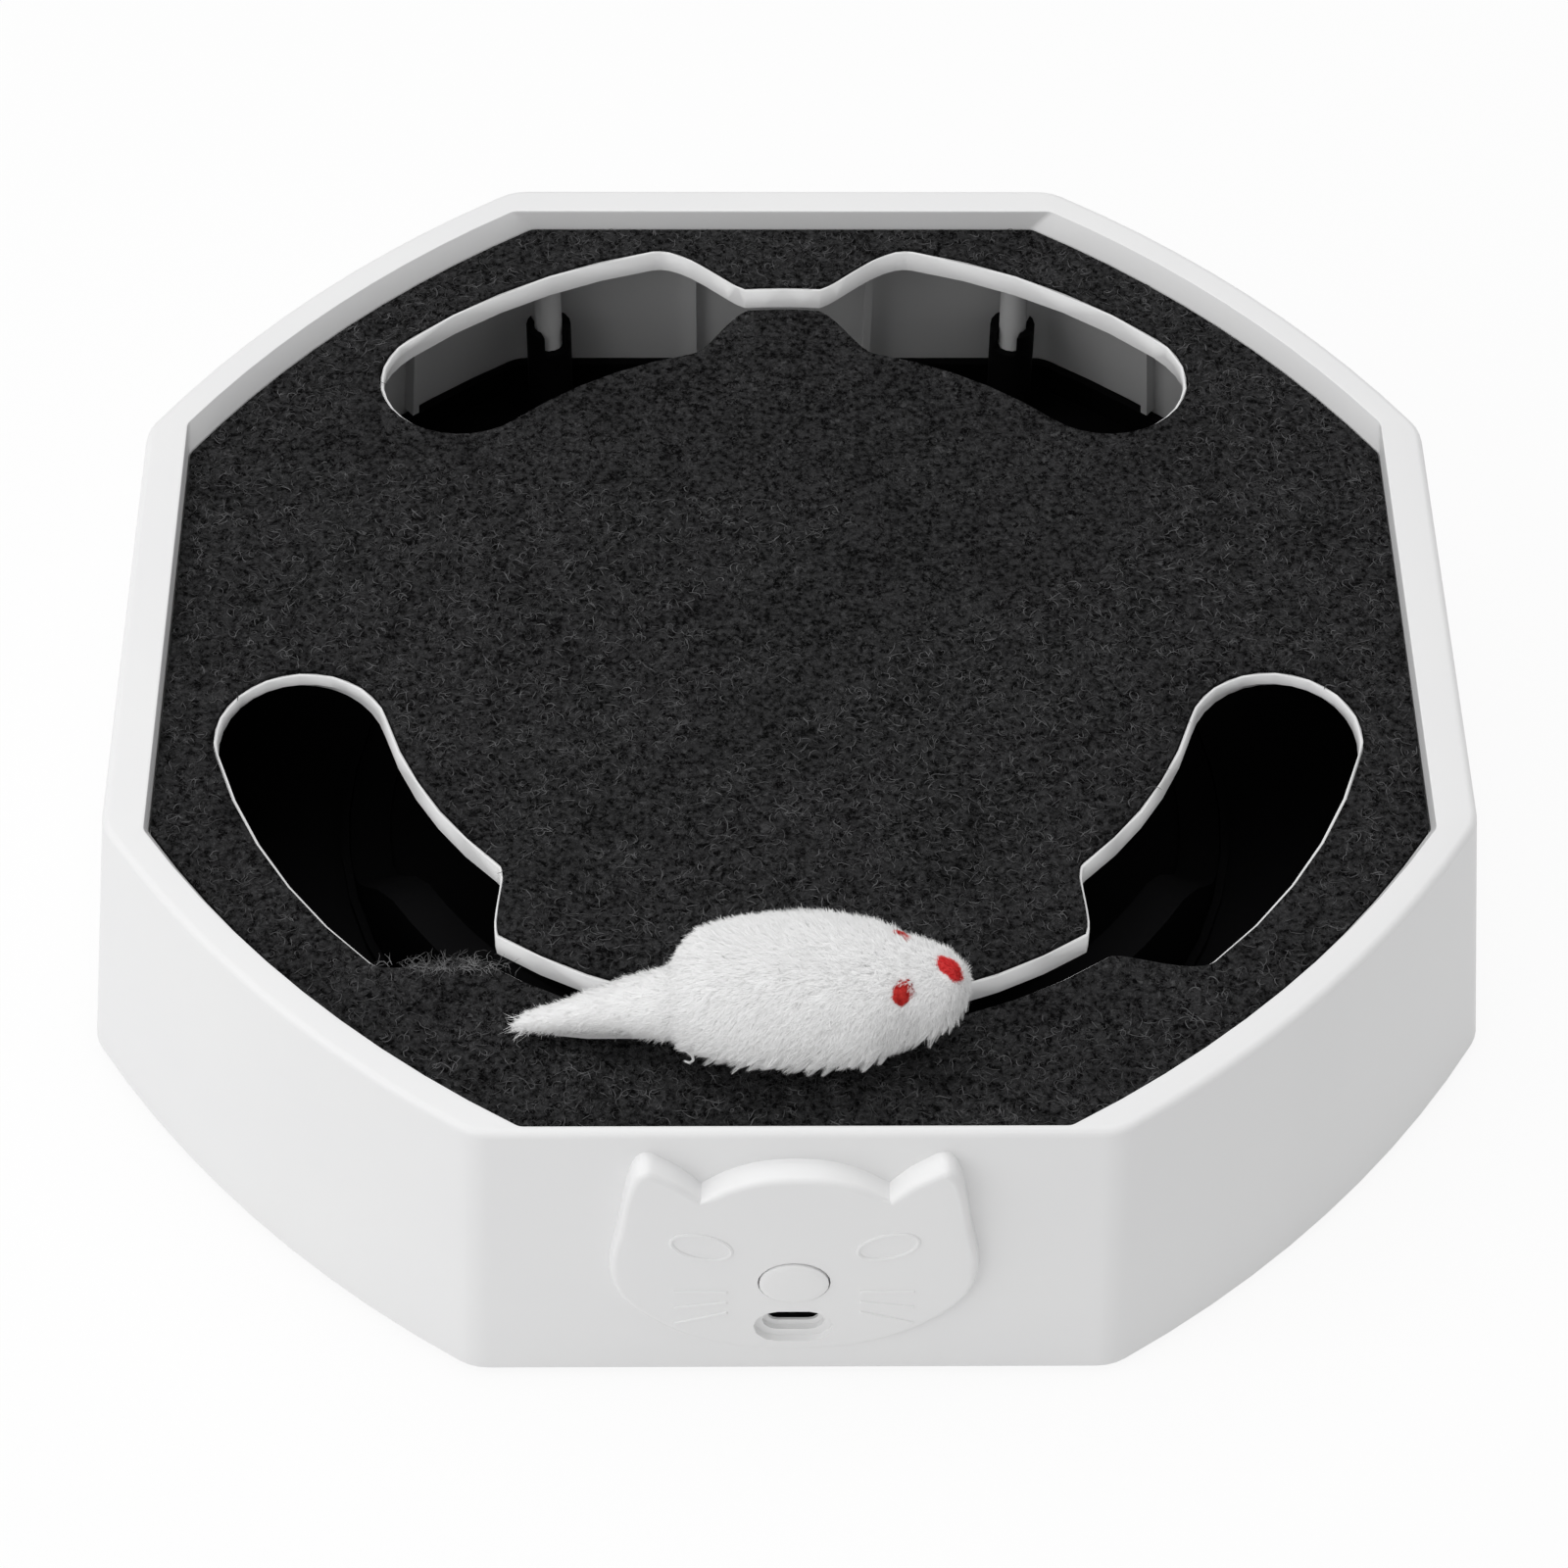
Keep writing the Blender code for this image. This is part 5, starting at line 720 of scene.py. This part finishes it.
def patch_faces(half):
    """Faces of both sides of a patch with half its points in each, and of its rim."""
    faces = []
    for ring in range(PATCH_RINGS):
        for k in range(PATCH_STEPS):
            a = 1 + ring * PATCH_STEPS + k
            b = 1 + ring * PATCH_STEPS + (k + 1) % PATCH_STEPS
            if ring == 0:
                faces += [(0, a, b), (half, half + b, half + a)]
            else:
                a, b, c, d = a - PATCH_STEPS, b - PATCH_STEPS, b, a
                faces += [(a, d, c, b), (half + a, half + b, half + c, half + d)]
    rim = 1 + (PATCH_RINGS - 1) * PATCH_STEPS
    for k in range(PATCH_STEPS):
        a, b = rim + k, rim + (k + 1) % PATCH_STEPS
        faces.append((a, half + a, half + b, b))
    return faces


def red_patch(tree, node_name):
    """A thin domed patch on the skin, with the ball that white pile keeps clear of and the way out."""
    middle, long, short, tilt = RED_SPOTS[node_name]
    centre, normal, along, across = spot_frame(tree, middle, tilt)
    top, under = patch_points(tree, centre, along, across, long, short)
    points = [tuple(v) for v in top + under]
    patch = mesh_object(node_name.replace("mouse", "red"), points, patch_faces(len(top)), RED)
    place(patch, "lifting_arm", "red_trim", node_name)
    return patch, (centre, (long + short) / 2 * MM * SPOT_CLEARING), np.array(normal)


def red_nap(patch, outward, seed, mat):
    point, normal, rng = surface_samples(patch, NAP_COUNT, seed)
    keep = normal @ outward > 0.2
    point, normal = point[keep], normal[keep]
    length = in_mm(rng, (0.5, 1.1), len(point))
    paths = pile_paths(point, normal, length, flow_over(point), 0.45, 0.1, rng)
    facing = turned_about(normal, rng, 0.3)
    widths = in_mm(rng, (0.06, 0.11), len(point))
    paths = gathered(paths, rng, 8, 0.1, 0.5)
    nap = ribbons(f"{patch.name}_nap", paths, widths, facing, (1, 0.9, 0.6, 0.2), mat)
    place(nap, "lifting_arm", "red_trim")


def make_mouse():
    skin = plush_skin()
    tree = bvh_of(skin)
    spots = []
    for seed, node_name in enumerate(RED_SPOTS, 31):
        patch, spot, outward = red_patch(tree, node_name)
        red_nap(patch, outward, seed, NOSE_FUR if node_name == "mouse_nose" else RED_FUR)
        spots.append(spot)
    short_pile(skin, spots)
    tufts(skin)
    tail_tuft()
    stray_lock()


# Felt

GRID_PITCH = 2.5 * MM
GRID_MARGIN = 1 * MM
OVERHANG = 0.66 * MM
FIBRE_COUNT = 24000
FRAY_REACH = 110 * MM
FRAY_SHARE = 0.4
FRAY_COUNT = 230
FRAY_TIP = (-62.5, -83.2)
FRAY_SPREAD = (5.0, 0.8)


def felt_grid():
    """A block of square cells, a little larger than the felt."""
    columns = int((FELT_HIGH.x - FELT_LOW.x) / GRID_PITCH) + 2
    rows = int((FELT_HIGH.y - FELT_LOW.y) / GRID_PITCH) + 2
    grid = bmesh.new()
    bmesh.ops.create_grid(grid, x_segments=columns, y_segments=rows, size=0.5)
    grid.transform(Matrix.Diagonal((columns * GRID_PITCH, rows * GRID_PITCH, 1, 1)))
    made = bmesh.ops.extrude_face_region(grid, geom=grid.faces[:])
    lifted = [g for g in made["geom"] if isinstance(g, bmesh.types.BMVert)]
    bmesh.ops.translate(grid, verts=lifted, vec=(0, 0, FELT_HIGH.z - FELT_LOW.z + 2 * GRID_MARGIN))
    middle = (FELT_LOW.y + FELT_HIGH.y) / 2
    bmesh.ops.translate(grid, verts=grid.verts, vec=(0, middle, FELT_LOW.z - GRID_MARGIN))
    bmesh.ops.recalc_face_normals(grid, faces=grid.faces)
    mesh = bpy.data.meshes.new("felt_grid")
    grid.to_mesh(mesh)
    grid.free()
    block = bpy.data.objects.new("felt_grid", mesh)
    bpy.context.scene.collection.objects.link(block)
    return block


def felt_cover():
    """The felt cut along a fine grid, its upper edge leaning out over the lips."""
    felt = copy_of("felt_pad", "felt_cover", FELT)
    cutter = felt_grid()
    overlap = felt.modifiers.new("grid", "BOOLEAN")
    overlap.operation = "INTERSECT"
    overlap.solver = "EXACT"
    overlap.object = cutter
    applied(felt)
    bpy.data.objects.remove(cutter)
    overhang(felt)
    felt.data.materials.clear()
    felt.data.materials.append(FELT)
    return place(felt, "housing", "felt", "felt_pad")


def overhang(felt):
    """Let the felt's upper edge lean out a little over the lips at the near side of the openings."""
    bm = bmesh.new()
    bm.from_mesh(felt.data)
    everything = bm.verts[:] + bm.edges[:] + bm.faces[:]
    bmesh.ops.bisect_plane(bm, geom=everything, plane_co=(0, 0, LIP_TOP + NEAR), plane_no=(0, 0, 1))
    moves = []
    for vert in bm.verts:
        walls = [f for f in vert.link_faces if abs(f.normal.z) < UPRIGHT]
        if walls and vert.co.z > FELT_TOP - NEAR and within_openings(vert.co):
            out = sum((f.normal for f in walls), Vector())
            out.z = 0
            out.normalize()
            moves.append((vert, out * max(0, out.y) * OVERHANG))
    for vert, move in moves:
        vert.co += move
    bm.to_mesh(felt.data)
    bm.free()


def over_felt(tree, points):
    """True where a point lies over the felt."""
    down = Vector((0, 0, -1))
    above = FELT_TOP + 5 * MM
    hits = [tree.ray_cast(Vector((x, y, above)), down, 6 * MM)[0] is not None for x, y in points[:, :2]]
    return np.array(hits)


def lying_fibres(start, heading, step, curl, lift, rng, points=6):
    """Fibres that wander over the felt, each turning its own way."""
    count = len(start)
    turns = curl[:, None] + rng.normal(scale=0.35, size=(count, points - 1))
    angle = heading[:, None] + np.cumsum(turns, axis=1)
    moves = np.stack([np.cos(angle), np.sin(angle)], -1) * step[:, None, None]
    flat = start[:, None, :2] + np.concatenate([np.zeros((count, 1, 2)), np.cumsum(moves, axis=1)], 1)
    arch = np.sin(np.linspace(0.15, math.pi - 0.15, points))[None] * lift[:, None]
    return np.concatenate([flat, (FELT_TOP + 0.02 * MM + arch)[..., None]], 2)


def felt_fibres(cover):
    """Loose fibres on the felt; a few at its cut edges stick out over the openings."""
    tree = bvh_of(cover)
    point, normal, rng = surface_samples(cover, FIBRE_COUNT, 21)
    point = point[normal[:, 2] > LEVEL]
    count = len(point)
    step = in_mm(rng, (0.35, 0.75), count)
    curl = rng.normal(scale=0.5, size=count)
    heading = rng.uniform(0, math.tau, count)
    lift = in_mm(rng, (0.03, 0.2), count)
    paths = lying_fibres(point, heading, step, curl, lift, rng)
    inside = over_felt(tree, paths[:, 2]) & over_felt(tree, paths[:, 5])
    reach = np.linalg.norm(paths[:, 5, :2], axis=1)
    frayed = over_felt(tree, paths[:, 1]) & (reach < FRAY_REACH) & (rng.random(count) < FRAY_SHARE)
    paths = paths[inside | frayed]
    facing = unit(np.array([0, 0, 1]) + rng.normal(scale=0.25, size=(len(paths), 3)))
    widths = in_mm(rng, (0.1, 0.22), len(paths))
    fibres = ribbons("felt_fibres", paths, widths, facing, (0.3, 0.9, 1, 1, 0.8, 0.3), FELT_FIBRE)
    place(fibres, "housing", "felt")


def frayed_tip():
    """A wisp of longer fibres at the felt's worn tip between the left front lobe and the slot."""
    rng = np.random.default_rng(24)
    start = np.array(FRAY_TIP) * MM + rng.normal(size=(FRAY_COUNT, 2)) * np.array(FRAY_SPREAD) * MM
    heading = rng.normal(loc=0.2, scale=0.7, size=FRAY_COUNT) + math.pi * rng.integers(0, 2, FRAY_COUNT)
    step = in_mm(rng, (0.3, 0.75), FRAY_COUNT)
    curl = rng.normal(scale=0.28, size=FRAY_COUNT)
    lift = in_mm(rng, (0.1, 0.6), FRAY_COUNT)
    paths = lying_fibres(start, heading, step, curl, lift, rng)
    facing = unit(np.array([0, 0, 1]) + rng.normal(scale=0.4, size=(FRAY_COUNT, 3)))
    widths = in_mm(rng, (0.06, 0.12), FRAY_COUNT)
    wisp = ribbons("frayed_tip", paths, widths, facing, (0.6, 0.9, 1, 0.9, 0.6, 0.2), FRAY_FIBRE)
    place(wisp, "housing", "felt")


def make_felt():
    cover = felt_cover()
    felt_fibres(cover)
    frayed_tip()


# Camera, lamps and stage

LENS = 105.75
SENSOR = 36
CLIP_START = 0.05
CAMERA_PLACE = (-0.0134, -0.6176, 0.7063)
CAMERA_RIGHT = Vector((0.999900, -0.010344, 0.009665))
CAMERA_UP = Vector((0.001277, 0.745841, 0.666122))
CAMERA_FORWARD = Vector((0.014098, 0.666043, -0.745780))
LAMP_AIM = Vector((0, 0, 0.03))
LAMPS = {
    # name: place, size, power
    "key_left": ((-0.9, -0.55, 0.75), 1.1, 5.1),
    "top": ((-0.1, 0.15, 1.3), 1.2, 6.7),
}
SKY_STRENGTH = 0.5
FLOOR_HALF = 3.0
FLOOR_DROP = 0.02 * MM
FLOOR_WHITENESS = 0.9


def make_camera():
    data = bpy.data.cameras.new("camera")
    data.lens = LENS
    data.sensor_width = SENSOR
    data.clip_start = CLIP_START
    camera = bpy.data.objects.new("camera", data)
    turn = Matrix((CAMERA_RIGHT, CAMERA_UP, -CAMERA_FORWARD)).transposed().to_4x4()
    camera.matrix_world = Matrix.Translation(CAMERA_PLACE) @ turn
    bpy.context.scene.collection.objects.link(camera)
    bpy.context.scene.camera = camera


def lamp(name, position, size, power):
    data = bpy.data.lights.new(name, "AREA")
    data.shape = "RECTANGLE"
    data.size = data.size_y = size
    data.energy = power
    made = bpy.data.objects.new(name, data)
    made.location = position
    aim = LAMP_AIM - Vector(position)
    made.rotation_euler = aim.to_track_quat("-Z", "Y").to_euler()
    bpy.context.scene.collection.objects.link(made)


def floor_material():
    """A white floor that keeps a soft shadow and reads as white to the camera."""
    mat, shader = new_material("white_floor", (0.9, 0.9, 0.9), 0.9, specular=0.0)
    glow = node(mat, "ShaderNodeEmission", Strength=1.0)
    path = node(mat, "ShaderNodeLightPath")
    seen = math_node(mat, "MAXIMUM", path.outputs["Is Camera Ray"], path.outputs["Is Glossy Ray"])
    blend = node(mat, "ShaderNodeMixShader")
    link(mat, math_node(mat, "MULTIPLY", seen, FLOOR_WHITENESS), blend.inputs[0])
    link(mat, shader.outputs[0], blend.inputs[1])
    link(mat, glow.outputs[0], blend.inputs[2])
    out = [n for n in mat.node_tree.nodes if n.type == "OUTPUT_MATERIAL"][0]
    link(mat, blend.outputs[0], out.inputs["Surface"])
    return mat


def make_world():
    world = bpy.data.worlds.new("studio")
    bpy.context.scene.world = world
    world.use_nodes = True
    tree = world.node_tree
    sky = tree.nodes["Background"]
    sky.inputs["Color"].default_value = (1, 1, 1, 1)
    sky.inputs["Strength"].default_value = SKY_STRENGTH
    white = tree.nodes.new("ShaderNodeBackground")
    white.inputs["Strength"].default_value = 1.0
    path = tree.nodes.new("ShaderNodeLightPath")
    blend = tree.nodes.new("ShaderNodeMixShader")
    out = [n for n in tree.nodes if n.type == "OUTPUT_WORLD"][0]
    tree.links.new(path.outputs["Is Camera Ray"], blend.inputs[0])
    tree.links.new(sky.outputs[0], blend.inputs[1])
    tree.links.new(white.outputs[0], blend.inputs[2])
    tree.links.new(blend.outputs[0], out.inputs["Surface"])


def make_stage():
    corners = [(x * FLOOR_HALF, y * FLOOR_HALF, 0) for x, y in ((-1, -1), (1, -1), (1, 1), (-1, 1))]
    floor = mesh_object("floor", corners, [(0, 1, 2, 3)], floor_material(), smooth=False)
    floor.location.z = -FLOOR_DROP
    make_world()
    for name, look in LAMPS.items():
        lamp(name, *look)
    bpy.context.scene.view_settings.view_transform = "Standard"


make_camera()
dress_all_rigid()
make_mouse()
make_felt()
make_stage()
